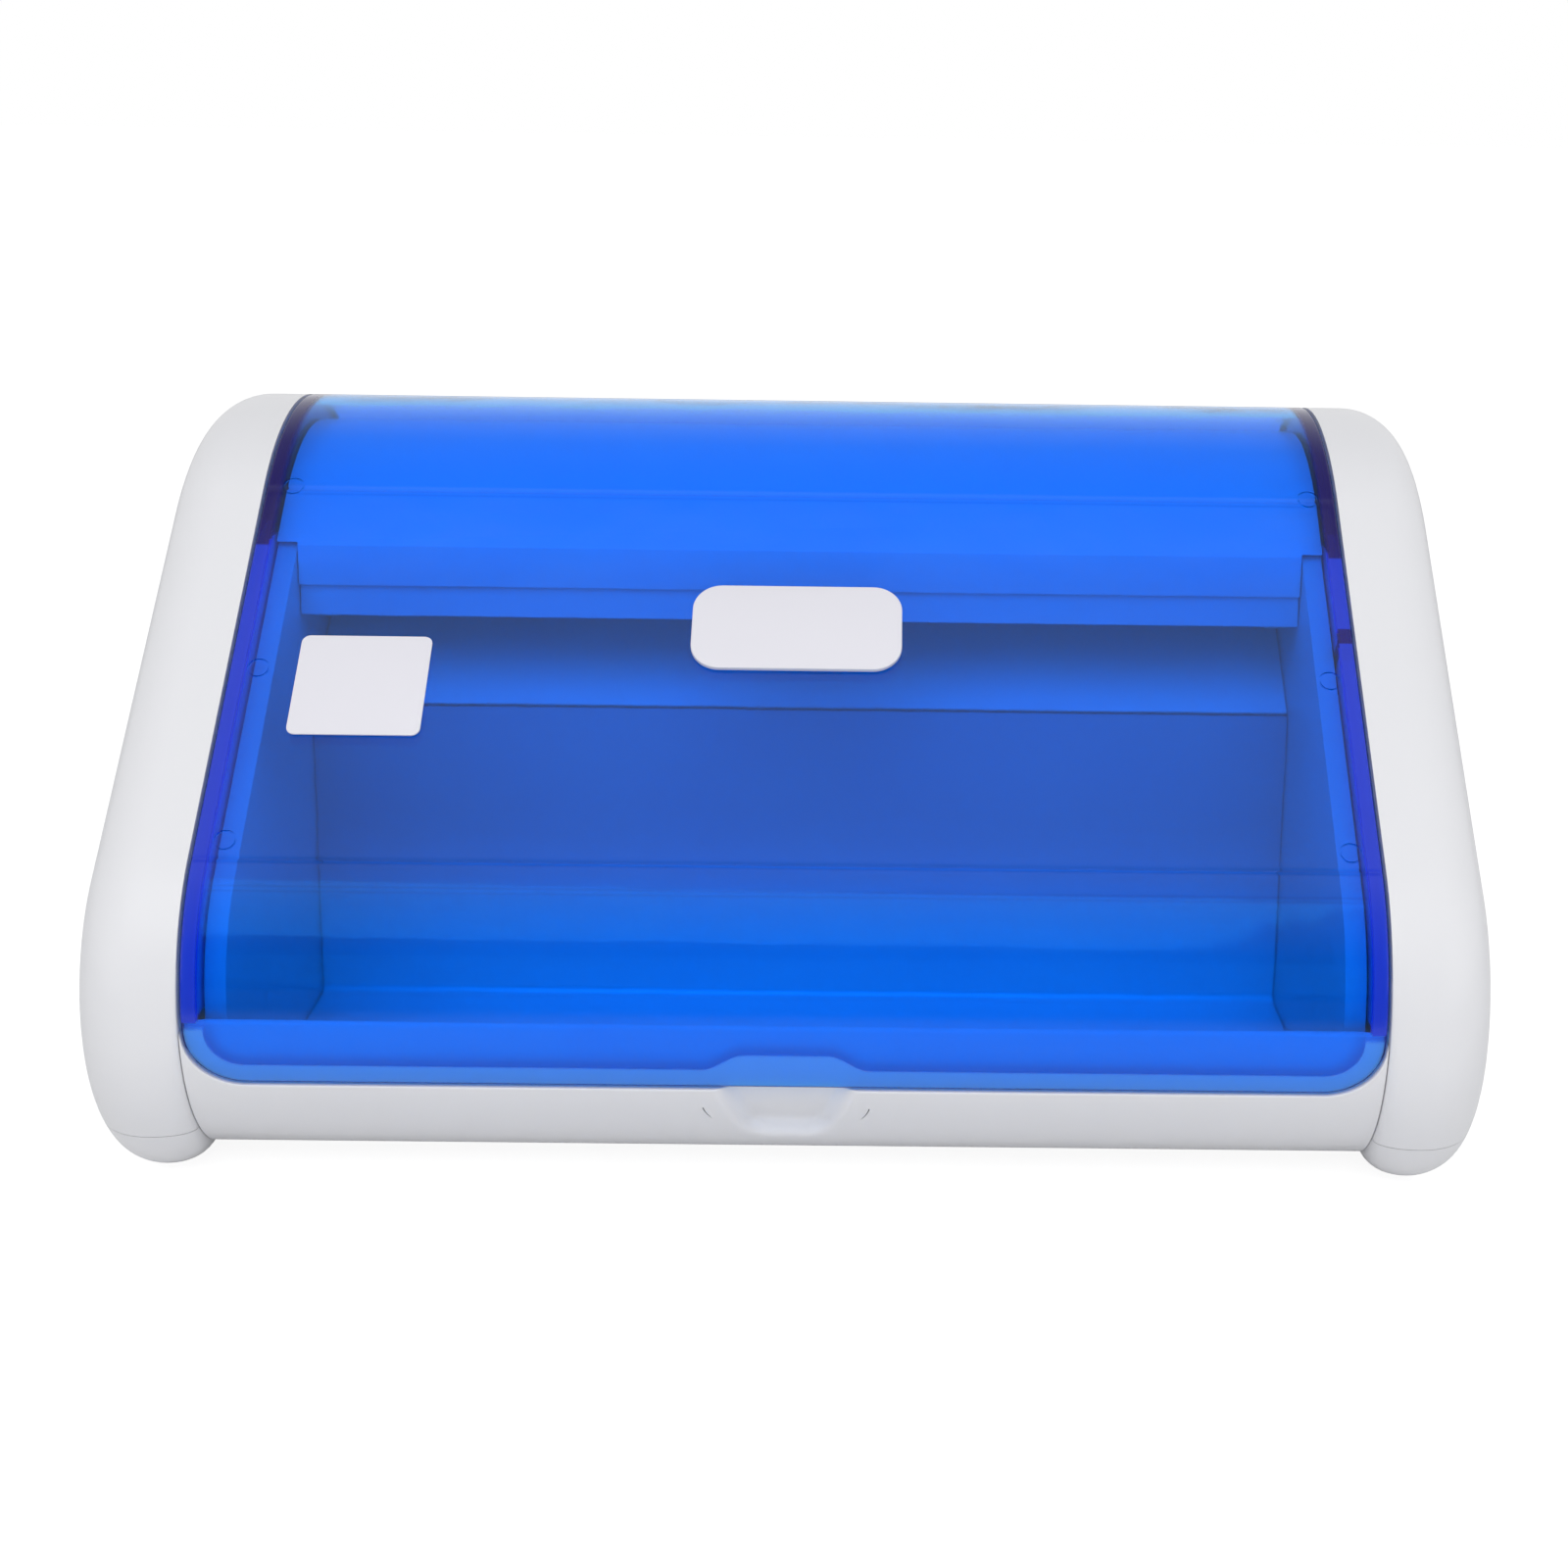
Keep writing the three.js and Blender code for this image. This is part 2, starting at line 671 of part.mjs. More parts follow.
// Front strip with its finger scoop, and the low wall that the cover closes against
function frontPanel() {
  const depth = coverRecess + frontWallThickness;
  const band = cut(
    pegX(noseCentre, noseRadius, -panelHalfWidth, panelHalfWidth, drumSides),
    pegX(noseCentre, noseRadius - depth, -bodyHalfWidth, bodyHalfWidth, drumSides),
  );
  const front = block([-bodyHalfWidth, bodyHalfWidth], [-overrun, noseRadius],
    [panUnderside, frontWallTop]);
  const backInner = panelHalfWidth + overrun;
  const relief = pegX(noseCentre, noseRadius - stripWall, -backInner, backInner, drumSides)
    .intersect(block([-backInner, backInner], [-overrun, noseRadius], [0, stripShelfHeight]));
  const recess = coverRecessCutter();
  const bowl = (margin) => {
    const geometry = new THREE.SphereGeometry(1, 24, 12);
    geometry.scale(scoopHalfWidth + margin, scoopDepth + margin, scoopHalfHeight + margin);
    const angle = noseAngle(scoopHeight, 0);
    geometry.rotateX(angle - Math.PI);
    geometry.translate(0, noseRadius + noseRadius * Math.cos(angle),
      noseHeight + noseRadius * Math.sin(angle));
    return solidOf(geometry);
  };
  const body = cut(band.intersect(front), relief, recess);
  const drum = pegX(noseCentre, noseRadius, -panelHalfWidth, panelHalfWidth, drumSides);
  const bowlWall = cut(bowl(stripWall).intersect(drum).intersect(front), recess);
  return cut(join(body, bowlWall), bowl(0));
}

// The pocket in the front panel that the cover's lower edge lies in
function coverRecessCutter() {
  const halfWidth = panelHalfWidth + overrun;
  const low = coverLowEdge - seatGap * 2;
  const corner = coverCorner;
  const sideX = coverHalfWidth + seatGap;
  const right = [
    ...arc(yz(sideX - corner, low + corner), corner, -Math.PI / 2, 0),
    yz(sideX, frontWallTop - seatGap),
    yz(halfWidth, frontWallTop - seatGap),
    yz(halfWidth, frontWallTop + overrun),
  ];
  const left = right.map((point) => yz(-point.x, point.y)).reverse();
  const pocket = plate([...right, ...left], -overrun, noseRadius);
  const core = pegX(noseCentre, noseRadius - coverRecess, -bodyHalfWidth, bodyHalfWidth, drumSides);
  return cut(pocket, core);
}

function rearPanel() {
  const middle = (rearPanelTop + panUnderside) / 2;
  const halfHeight = (rearPanelTop - panUnderside) / 2;
  const outline = roundedRectangle(panelHalfWidth, halfHeight, rearPanelCorner)
    .map((point) => yz(point.x, point.y + middle));
  const window = (x, z, halfWidth, halfTall) => block(
    [x - halfWidth, x + halfWidth], [rearInnerFace - overrun, rearFace + overrun],
    [z - halfTall, z + halfTall],
  );
  const openings = [
    window(switchX, switchHeight, switchBodyHalfWidth + seatGap, switchBodyHalfHeight + seatGap),
    window(inletX, inletHeight, inletHalfWidth + seatGap, inletHalfHeight + seatGap),
  ];
  for (const side of [-1, 1]) {
    for (let i = 0; i < ventCount; i++) {
      const x = side * ventCentreX + (i - (ventCount - 1) / 2) * ventSpacing;
      openings.push(window(x, ventCentreHeight, ventWidth / 2, ventHeight / 2));
    }
    for (const height of rearPostHeights) {
      openings.push(pegY(side * rearScrewX, height, screwHoleRadius, panRear, rearFace + overrun));
    }
  }
  return cut(plate(outline, rearInnerFace, rearFace), ...openings);
}

// Hollow side frame of the chamber, open underneath, with a lobe round the hinge pin
function sideFrame() {
  const outline = (inset, bottom, rear) => {
    const lobe = rearRadius - inset;
    const lobeEnd = -Math.acos((rear - hinge.x) / lobe);
    const start = Math.PI * 4 / 3;
    const path = shellPath(inset, start, lobeEnd);
    return joined([yz(path[0].x, bottom)], path, [yz(rear, bottom)]);
  };
  const body = prism(outline(frameInset, panFloor + seatGap, frameRearDepth), frameInner, frameOuter);
  const hollow = prism(
    outline(frameInset + frameWall, 0, frameRearDepth - frameWall),
    frameInner + frameWall, frameOuter - frameWall,
  );
  const pinHole = pegX(hinge, pinRadius + seatGap, frameInner - overrun, frameOuter + overrun);
  return cut(body, hollow, pinHole);
}

function lampHood() {
  const path = joined(
    [
      yz(hoodFrontDepth + hoodStep, lampHeight - hoodLipBelowLamp),
      yz(hoodFrontDepth + hoodStep, lampHeight + hoodStepAboveLamp),
      yz(hoodFrontDepth, lampHeight + hoodStepAboveLamp),
      yz(hoodFrontDepth, slopeHeightAt(hoodFrontDepth, hoodInset)),
    ],
    arc(crownCentre, crownRadius - hoodInset, slopeNormalAngle, rearTurnAngle),
    arc(hinge, rearRadius - hoodInset, rearTurnAngle, -Math.PI / 2),
  );
  const sheet = prism(sheetOutline(path, hoodWall), -frameOuter, frameOuter);
  const frontRear = hoodFrontDepth + hoodStep + hoodWall;
  const frameNotch = block([chamberHalfWidth, bodyHalfWidth], [0, frontRear + seatGap],
    [0, slopeHeightAt(frontRear + seatGap, frameInset) + seatGap]);
  return cut(sheet, frameNotch, mirrored(frameNotch));
}

function chamberLiner() {
  const path = [
    nosePoint(frontWallTop - linerTopGap, linerFrontInset),
    nosePoint(coverLowEdge, linerFrontInset),
    yz(linerToeDepth, linerFloor),
    yz(linerBackDepth, linerFloor),
    yz(linerBackDepth, lampHeight - linerBelowLamp),
  ];
  return prism(sheetOutline(path, linerWall), -chamberHalfWidth, chamberHalfWidth);
}

function reflector() {
  const low = yz(linerBackDepth + linerWall + seatGap, lampHeight - linerBelowLamp + linerWall);
  const frontDepth = hoodFrontDepth + hoodStep + hoodWall + seatGap;
  const front = yz(frontDepth, slopeHeightAt(frontDepth, frameInset + reflectorWall));
  const path = joined(
    [low],
    arc(lampAxis, reflectorRadius, -Math.PI / 4, Math.PI / 2),
    [front],
  );
  const sheet = prism(sheetOutline(path, reflectorWall), -chamberHalfWidth, chamberHalfWidth);
  const leadHoles = [-1, 1].map((side) => pegY(
    side * holderCentreX, lampHeight, leadHoleRadius, lampDepth, lampDepth + reflectorRadius * 2,
  ));
  return cut(sheet, ...leadHoles);
}

function uvTube() {
  const reach = lampHalf - lampCapLength - seatGap;
  return pegX(lampAxis, lampRadius, -reach, reach, pegSides * 2);
}

function lampCap() {
  const shell = pegX(lampAxis, lampCapRadius, lampHalf - lampCapLength, lampHalf, pegSides * 2);
  const pins = [-1, 1].map((side) => pegX(
    yz(lampDepth, lampHeight + side * lampPinSpacing / 2), lampPinRadius,
    lampHalf - lampPinLength, lampHalf + lampPinLength,
  ));
  return join(shell, ...pins);
}

function lampHolder() {
  const start = lampHalf + seatGap;
  const body = block([start, chamberHalfWidth],
    [lampDepth - holderHalfWidth, lampDepth + holderHalfWidth],
    [lampHeight - holderBottom, lampHeight + holderTop]);
  const boreEnd = lampHalf + lampPinLength + seatGap;
  const bore = pegX(lampAxis, holderBoreRadius, start - overrun, boreEnd, pegSides * 2);
  const slot = block([start - overrun, boreEnd],
    [lampDepth - holderSlotWidth / 2, lampDepth + holderSlotWidth / 2],
    [lampHeight - holderBottom - overrun, lampHeight]);
  return cut(body, bore, slot);
}

// Transparent cover: one wall over nose, slope and crown, with a flange and a hinge hub at each side
function cover() {
  const band = (inset, lowEdge) => joined(
    shellPath(0, noseAngle(lowEdge, 0), coverTailAngle),
    shellPath(inset, noseAngle(lowEdge, inset), coverTailAngle).reverse(),
  );
  const sheet = prism(band(coverWall, coverLowEdge), -coverHalfWidth, coverHalfWidth);
  const corner = plate([
    yz(coverHalfWidth + overrun, coverLowEdge - overrun),
    yz(coverHalfWidth + overrun, coverLowEdge + coverCorner),
    ...arc(yz(coverHalfWidth - coverCorner, coverLowEdge + coverCorner),
      coverCorner, 0, -Math.PI / 2),
    yz(coverHalfWidth - coverCorner, coverLowEdge - overrun),
  ], -overrun, noseRadius / 2);
  const flangeLow = frontWallTop + seatGap;
  const flange = join(
    prism(band(flangeDepth, flangeLow), flangeInner, coverHalfWidth),
    pegX(hinge, hubRadius, flangeInner, coverHalfWidth, pegSides * 2),
  );
  const pinHole = pegX(hinge, pinRadius + seatGap, -bodyHalfWidth, bodyHalfWidth);
  return cut(join(sheet, flange, mirrored(flange)), corner, mirrored(corner), pinHole);
}

function hingePin() {
  const head = pegX(hinge, pinHeadRadius, sidePlateOuter + seatGap,
    sidePlateOuter + seatGap + pinHeadThickness);
  const shank = pegX(hinge, pinRadius, frameOuter - pinReach, sidePlateOuter + pinHeadThickness);
  return join(head, shank);
}

function namePlate() {
  const outline = roundedRectangle(plateWidth / 2, plateLength / 2, plateCorner)
    .map((point) => yz(point.x, point.y + platePlace));
  return slopePlate(outline, seatGap, plateThickness);
}

function blankLabel() {
  const outline = roundedRectangle(labelWidth / 2, labelLength / 2, labelCorner)
    .map((point) => yz(point.x + labelCentreX, point.y + labelPlace));
  return slopePlate(outline, seatGap, labelThickness);
}

function ballastScrewPlaces() {
  const reach = (ballastLength + ballastFootLength) / 2;
  return [-1, 1].map((side) => [ballastCentreX + side * reach, ballastMiddle]);
}

function ballast() {
  const middle = yz(ballastMiddle, panFloor + seatGap + ballastHeight / 2);
  const outline = roundedRectangle(ballastWidth / 2, ballastHeight / 2, ballastCorner)
    .map((point) => yz(point.x + middle.x, point.y + middle.y));
  const half = ballastLength / 2;
  const core = prism(outline, ballastCentreX - half, ballastCentreX + half);
  const foot = block([ballastCentreX - ballastReach, ballastCentreX + ballastReach],
    [middle.x - ballastWidth / 3, middle.x + ballastWidth / 3],
    [panFloor + seatGap, panFloor + seatGap + ballastFootThickness]);
  const holes = ballastScrewPlaces().map(([x, y]) => pegZ(x, y, screwHoleRadius, 0, panFloor + overrun));
  return cut(join(core, foot), ...holes);
}

function starterSocket() {
  const half = starterSocketWidth / 2;
  const body = block([starterX - half, starterX + half], [starterDepth - half, starterDepth + half],
    [panFloor + seatGap, panFloor + seatGap + starterSocketHeight]);
  const seat = pegZ(starterX, starterDepth, starterRadius + seatGap,
    panFloor + seatGap + starterSocketHeight - starterSeatDepth, panFloor + starterHeight, pegSides * 2);
  return cut(body, seat);
}

function starter() {
  const foot = panFloor + seatGap * 2 + starterSocketHeight - starterSeatDepth;
  const crown = [
    yz(0, 0), yz(starterRadius, 0), yz(starterRadius, starterHeight - starterSeatDepth / 2),
    yz(starterRadius - starterSeatDepth / 2, starterHeight), yz(0, starterHeight),
  ];
  const geometry = new THREE.LatheGeometry(crown, pegSides * 2);
  geometry.rotateX(Math.PI / 2);
  geometry.translate(starterX, starterDepth, foot);
  return solidOf(geometry);
}

function terminalBlock() {
  const low = panFloor + seatGap;
  const body = block(
    [terminalX - terminalLength / 2, terminalX + terminalLength / 2],
    [terminalDepth - terminalWidth / 2, terminalDepth + terminalWidth / 2],
    [low, low + terminalHeight],
  );
  const wells = [];
  for (let i = 0; i < terminalHoleCount; i++) {
    const x = terminalX + (i - (terminalHoleCount - 1) / 2) * terminalLength / terminalHoleCount;
    wells.push(pegZ(x, terminalDepth, terminalHoleRadius,
      low + terminalHeight / 2, low + terminalHeight + overrun));
  }
  return cut(body, ...wells);
}

// Insulated lead along a run of points with rounded bends
function lead(points) {
  const path = new THREE.CurvePath();
  let from = points[0];
  for (let i = 1; i < points.length; i++) {
    if (i === points.length - 1) {
      path.add(new THREE.LineCurve3(from, points[i]));
    } else {
      const arriving = points[i].clone().sub(points[i - 1]).normalize();
      const leaving = points[i + 1].clone().sub(points[i]).normalize();
      const bendStart = points[i].clone().addScaledVector(arriving, -leadBend);
      const bendEnd = points[i].clone().addScaledVector(leaving, leadBend);
      path.add(new THREE.LineCurve3(from, bendStart));
      path.add(new THREE.QuadraticBezierCurve3(bendStart, points[i], bendEnd));
      from = bendEnd;
    }
  }
  const steps = Math.ceil(path.getLength() / (leadRadius * 5));
  const section = new THREE.Shape(arc(yz(0, 0), leadRadius, 0, Math.PI * 2, leadSides).slice(1));
  return solidOf(new THREE.ExtrudeGeometry(section, { steps, extrudePath: path, bevelEnabled: false }));
}

function lampLead(side) {
  const rise = lampDepth + reflectorRadius + leadBend * 2 + leadRadius;
  const x = side * holderCentreX;
  const ballastSide = ballastCentreX + side * (ballastLength / 2 + seatGap);
  const height = panFloor + ballastHeight / 2;
  return lead([
    new THREE.Vector3(x, lampDepth + holderHalfWidth + seatGap, lampHeight),
    new THREE.Vector3(x, rise, lampHeight),
    new THREE.Vector3(x, rise, height),
    new THREE.Vector3(ballastSide, rise, height),
  ]);
}

// Lead from a rear fitting down to the back of the terminal block
function terminalLead(x, fromDepth, fromHeight) {
  const low = panFloor + seatGap + terminalHeight / 2;
  return lead([
    new THREE.Vector3(x, fromDepth, fromHeight),
    new THREE.Vector3(x, fromDepth - leadBend * 2, fromHeight),
    new THREE.Vector3(x, fromDepth - leadBend * 2, low),
    new THREE.Vector3(x, terminalDepth + terminalWidth / 2 + seatGap, low),
  ]);
}

function switchLead() {
  return terminalLead(switchX, rearInnerFace - switchBodyDepth - seatGap, switchHeight);
}

function inletLead() {
  const back = rearFace + seatGap + inletFlangeThickness - inletDepth - inletWall - seatGap;
  return terminalLead(inletX - inletHalfWidth / 2 - leadRadius, back, inletHeight);
}

// Rocker switch: a snap-in bezel and the rocker on its trunnions
const rockerPivot = yz(rearFace - rockerPivotDepth, switchHeight);

function switchBezel() {
  const front = rearFace + seatGap + switchFlangeThickness;
  const flange = block(
    [switchX - switchFlangeHalfWidth, switchX + switchFlangeHalfWidth],
    [rearFace + seatGap, front],
    [switchHeight - switchFlangeHalfHeight, switchHeight + switchFlangeHalfHeight],
  );
  const body = block(
    [switchX - switchBodyHalfWidth, switchX + switchBodyHalfWidth],
    [rearInnerFace - switchBodyDepth, rearFace + switchFlangeThickness],
    [switchHeight - switchBodyHalfHeight, switchHeight + switchBodyHalfHeight],
  );
  const roomX = rockerHalfWidth + rockerSideGap;
  const roomZ = rockerHalfHeight * Math.cos(rockerRestTilt)
    + rockerCrest * Math.sin(rockerRestTilt) + rockerEndGap;
  const room = block([switchX - roomX, switchX + roomX],
    [rockerPivot.x - rockerRootDepth - rockerEndGap - trunnionRadius, front + overrun],
    [switchHeight - roomZ, switchHeight + roomZ]);
  const bore = pegX(rockerPivot, trunnionRadius + seatGap,
    switchX - switchBodyHalfWidth - overrun, switchX + switchBodyHalfWidth + overrun);
  return cut(join(flange, body), room, bore);
}

function rocker() {
  const outline = [
    yz(rockerCrest, rockerHalfHeight),
    yz(rockerDip, 0),
    yz(rockerCrest, -rockerHalfHeight),
    yz(-rockerRootDepth, -rockerRootHalfHeight),
    yz(-rockerRootDepth, rockerRootHalfHeight),
  ].map((point) => point.rotateAround(yz(0, 0), rockerRestTilt).add(rockerPivot));
  const body = prism(outline, switchX - rockerHalfWidth, switchX + rockerHalfWidth);
  const reach = rockerHalfWidth + trunnionReach;
  return join(body, pegX(rockerPivot, trunnionRadius, switchX - reach, switchX + reach));
}

function powerInlet() {
  const flange = block(
    [inletX - inletHalfWidth - inletFlangeMargin, inletX + inletHalfWidth + inletFlangeMargin],
    [rearFace + seatGap, rearFace + seatGap + inletFlangeThickness],
    [inletHeight - inletHalfHeight - inletFlangeMargin, inletHeight + inletHalfHeight + inletFlangeMargin],
  );
  const front = rearFace + seatGap + inletFlangeThickness;
  const around = (halfWidth, halfHeight) => roundedRectangle(halfWidth, halfHeight, halfHeight)
    .map((point) => yz(point.x + inletX, point.y + inletHeight));
  const barrel = plate(around(inletHalfWidth, inletHalfHeight), front - inletDepth - inletWall,
    front - inletFlangeThickness / 2);
  const socket = plate(around(inletHalfWidth - inletWall, inletHalfHeight - inletWall),
    front - inletDepth, front + overrun);
  const pins = [-1, 1].map((side) => pegY(
    inletX + side * inletPinSpacing / 2, inletHeight, inletPinRadius,
    front - inletDepth - inletWall / 2, front - inletDepth + inletPinLength,
  ));
  return join(cut(join(flange, barrel), socket), ...pins);
}

// A box lying along the slope, given by its run along the slope and its depth below it
function slopeBar(fromAlong, toAlong, fromInset, toInset, fromX, toX) {
  return prism([
    slopePoint(fromAlong, fromInset), slopePoint(toAlong, fromInset),
    slopePoint(toAlong, toInset), slopePoint(fromAlong, toInset),
  ], fromX, toX);
}

function interlockSwitch() {
  const from = frameOuter + seatGap;
  const to = panelHalfWidth;
  const body = slopeBar(interlockPlace - interlockHalfLength, interlockPlace + interlockHalfLength,
    interlockTop, interlockTop + interlockDepth, from, to);
  const well = slopeBar(
    interlockPlace - plungerHalfLength - seatGap, interlockPlace + plungerHalfLength + seatGap,
    interlockTop - overrun, plungerBottom + plungerTravelRoom,
    from + interlockWall, to - interlockWall,
  );
  return cut(body, well);
}

function interlockPlunger() {
  const margin = interlockWall + seatGap;
  return slopeBar(interlockPlace - plungerHalfLength, interlockPlace + plungerHalfLength,
    flangeDepth + seatGap, plungerBottom, frameOuter + seatGap + margin, panelHalfWidth - margin);
}

function rubberFoot(depth) {
  const pad = pegZ(footCentreX, depth, footRadius, 0, cheekSole - seatGap);
  const stem = pegZ(footCentreX, depth, footStemRadius, cheekSole / 2, cheekSole + footStemLength);
  return join(pad, stem);
}

function panScrew(depth) {
  const headLow = cheekSole;
  const headTop = cheekSole + screwHeadThickness - seatGap;
  return join(
    pegZ(sidePostCentreX, depth, screwHeadRadius, headLow, headTop),
    pegZ(sidePostCentreX, depth, screwRadius, headLow + screwHeadThickness / 2,
      cheekSole + cheekWall + panBossHeight + screwReach),
  );
}

function rearScrew(height) {
  return join(
    pegY(rearScrewX, height, screwHeadRadius, rearFace + seatGap, rearFace + seatGap + screwHeadThickness),
    pegY(rearScrewX, height, screwRadius, panRear - screwReach, rearFace + screwHeadThickness),
  );
}

function cheekScrew({ depth, height }) {
  const at = yz(depth, height);
  const headInner = cheekInnerFace - seatGap - screwHeadThickness;
  return join(
    pegX(at, screwHeadRadius, headInner, cheekInnerFace - seatGap),
    pegX(at, screwRadius, headInner + screwHeadThickness / 2, sidePlateOuter + seatGap + screwReach),
  );
}

function ballastScrew([x, y]) {
  const seat = panFloor + seatGap * 2 + ballastFootThickness;
  return join(
    pegZ(x, y, screwHeadRadius, seat, seat + screwHeadThickness),
    pegZ(x, y, screwRadius, panUnderside, seat + screwHeadThickness / 2),
  );
}

const assembly = new THREE.Group();

function add(name, solid, finish) {
  const { color, roughness, metalness } = finish;
  const material = new THREE.MeshStandardMaterial({ color, roughness, metalness });
  if (finish.opacity) {
    material.transparent = true;
    material.opacity = finish.opacity;
  }
  const mesh = new THREE.Mesh(geometryOf(solid), material);
  mesh.name = name;
  assembly.add(mesh);
}

const whitePlastic = { color: 0xe2e2e6, roughness: 0.32, metalness: 0 };
const bluePlastic = { color: 0x1450e6, roughness: 0.08, metalness: 0, opacity: 0.6 };
const blackPlastic = { color: 0x1c1c20, roughness: 0.45, metalness: 0 };
const creamPlastic = { color: 0xe9e6da, roughness: 0.5, metalness: 0 };
const blackRubber = { color: 0x232326, roughness: 0.85, metalness: 0 };
const whiteLeadJacket = { color: 0xdcdcd6, roughness: 0.6, metalness: 0 };
const platedSteel = { color: 0xb9bcc0, roughness: 0.3, metalness: 1 };
const brushedSteel = { color: 0xc3c6ca, roughness: 0.38, metalness: 1 };
const polishedAluminium = { color: 0xdfe2e6, roughness: 0.14, metalness: 1 };
const quartzGlass = { color: 0xdde6ff, roughness: 0.05, metalness: 0, opacity: 0.7 };
const printedSheet = { color: 0xf4f4f6, roughness: 0.4, metalness: 0 };

const sides = [['left', -1], ['right', 1]];
const ends = [['front', 0], ['rear', 1]];

add('base_pan', basePan(), whitePlastic);
add('front_panel', frontPanel(), whitePlastic);
add('rear_panel', rearPanel(), whitePlastic);
add('lamp_hood', lampHood(), whitePlastic);
add('chamber_liner', chamberLiner(), brushedSteel);
add('reflector', reflector(), polishedAluminium);

for (const [sideName, side] of sides) {
  add(`${sideName}_cheek`, onSide(side, cheekShell()), whitePlastic);
  add(`${sideName}_side_plate`, onSide(side, sidePlate()), whitePlastic);
  add(`${sideName}_side_frame`, onSide(side, sideFrame()), whitePlastic);
  add(`${sideName}_hinge_pin`, onSide(side, hingePin()), platedSteel);
  add(`${sideName}_lamp_holder`, onSide(side, lampHolder()), creamPlastic);
  add(`${sideName}_lamp_cap`, onSide(side, lampCap()), polishedAluminium);
  add(`${sideName}_lamp_lead`, lampLead(side), whiteLeadJacket);
  for (const [endName, end] of ends) {
    add(`${sideName}_${endName}_foot`, onSide(side, rubberFoot(footPlaces[end])), blackRubber);
    add(`${sideName}_${endName}_pan_screw`, onSide(side, panScrew(sidePostPlaces[end])), platedSteel);
    add(`${sideName}_${endName}_cheek_screw`, onSide(side, cheekScrew(cheekBossPlaces[end])), platedSteel);
    add(`${sideName}_rear_screw_${end + 1}`, onSide(side, rearScrew(rearPostHeights[end])), platedSteel);
  }
}

add('cover', cover(), bluePlastic);
add('name_plate', namePlate(), printedSheet);
add('blank_label', blankLabel(), printedSheet);
add('uv_tube', uvTube(), quartzGlass);
add('ballast', ballast(), creamPlastic);
add('left_ballast_screw', ballastScrew(ballastScrewPlaces()[0]), platedSteel);
add('right_ballast_screw', ballastScrew(ballastScrewPlaces()[1]), platedSteel);
add('starter_socket', starterSocket(), creamPlastic);
add('starter', starter(), creamPlastic);
add('terminal_block', terminalBlock(), creamPlastic);
add('switch_lead', switchLead(), whiteLeadJacket);
add('inlet_lead', inletLead(), whiteLeadJacket);
add('switch_bezel', switchBezel(), blackPlastic);
add('rocker', rocker(), blackPlastic);
add('power_inlet', powerInlet(), blackPlastic);
add('interlock_switch', interlockSwitch(), blackPlastic);
add('interlock_plunger', interlockPlunger(), blackPlastic);

const bounds = new THREE.Box3().setFromObject(assembly);
assembly.position.y = -(bounds.min.y + bounds.max.y) / 2;

export default assembly;
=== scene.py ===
import json
import math
import bpy
import bmesh
from mathutils import Matrix, Vector


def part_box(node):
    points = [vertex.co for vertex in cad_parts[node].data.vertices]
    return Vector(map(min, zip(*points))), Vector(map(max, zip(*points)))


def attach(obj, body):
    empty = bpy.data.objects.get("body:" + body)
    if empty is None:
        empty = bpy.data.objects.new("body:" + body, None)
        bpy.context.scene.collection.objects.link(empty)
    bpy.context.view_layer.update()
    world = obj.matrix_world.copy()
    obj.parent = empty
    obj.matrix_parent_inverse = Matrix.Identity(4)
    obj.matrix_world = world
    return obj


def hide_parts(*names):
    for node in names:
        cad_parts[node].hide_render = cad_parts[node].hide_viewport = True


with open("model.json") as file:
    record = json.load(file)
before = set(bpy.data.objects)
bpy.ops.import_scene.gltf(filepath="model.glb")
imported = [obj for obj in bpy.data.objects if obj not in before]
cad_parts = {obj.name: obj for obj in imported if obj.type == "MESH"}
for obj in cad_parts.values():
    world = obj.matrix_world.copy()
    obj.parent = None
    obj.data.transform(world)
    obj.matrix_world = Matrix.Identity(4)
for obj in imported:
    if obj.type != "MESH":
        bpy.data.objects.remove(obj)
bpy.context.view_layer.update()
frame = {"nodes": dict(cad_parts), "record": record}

milli = 0.001

# Profiles are drawn in millimetres: depth runs back from the cover's nose, height up from the table
side = {
    "noseRadius": 52.4, "noseHeight": 55.0072, "slopeAngle": math.radians(40.65), "slopeLength": 130.5,
    "crownRadius": 88.0, "rearRadius": 28.0, "rearTurn": math.radians(80), "rearStand": 3.5,
}
across = {  # half widths
    "lamp": 144.15, "chamber": 151.2, "frameIn": 151.5, "frameOut": 157.5, "flangeIn": 158.5, "cover": 161.7,
    "panel": 162.2, "cheekIn": 162.5, "sidePlate": 164.7, "sidePost": 169.2, "foot": 174.5,
}
seatGap = 0.3
cover = {
    "wall": 3.2, "lowEdge": 36.0, "corner": 16.0, "tail": math.radians(-15), "flangeDepth": 14.0, "hub": 18.0,
    "pinHole": 3.3, "edge": 0.9, "lip": 6.0, "shoulderArch": 4.6, "archFrom": 22.5, "archTo": 11.5,
    "shoulderStep": 0.7, "shoulderTop": (50.0, 58.0),
    "creases": ((0, 0.24), (-8.0, 0.08), (130.5, 0.24)),  # place along the slope and depth
}


def turned(angle):
    return Vector((math.cos(angle), math.sin(angle)))


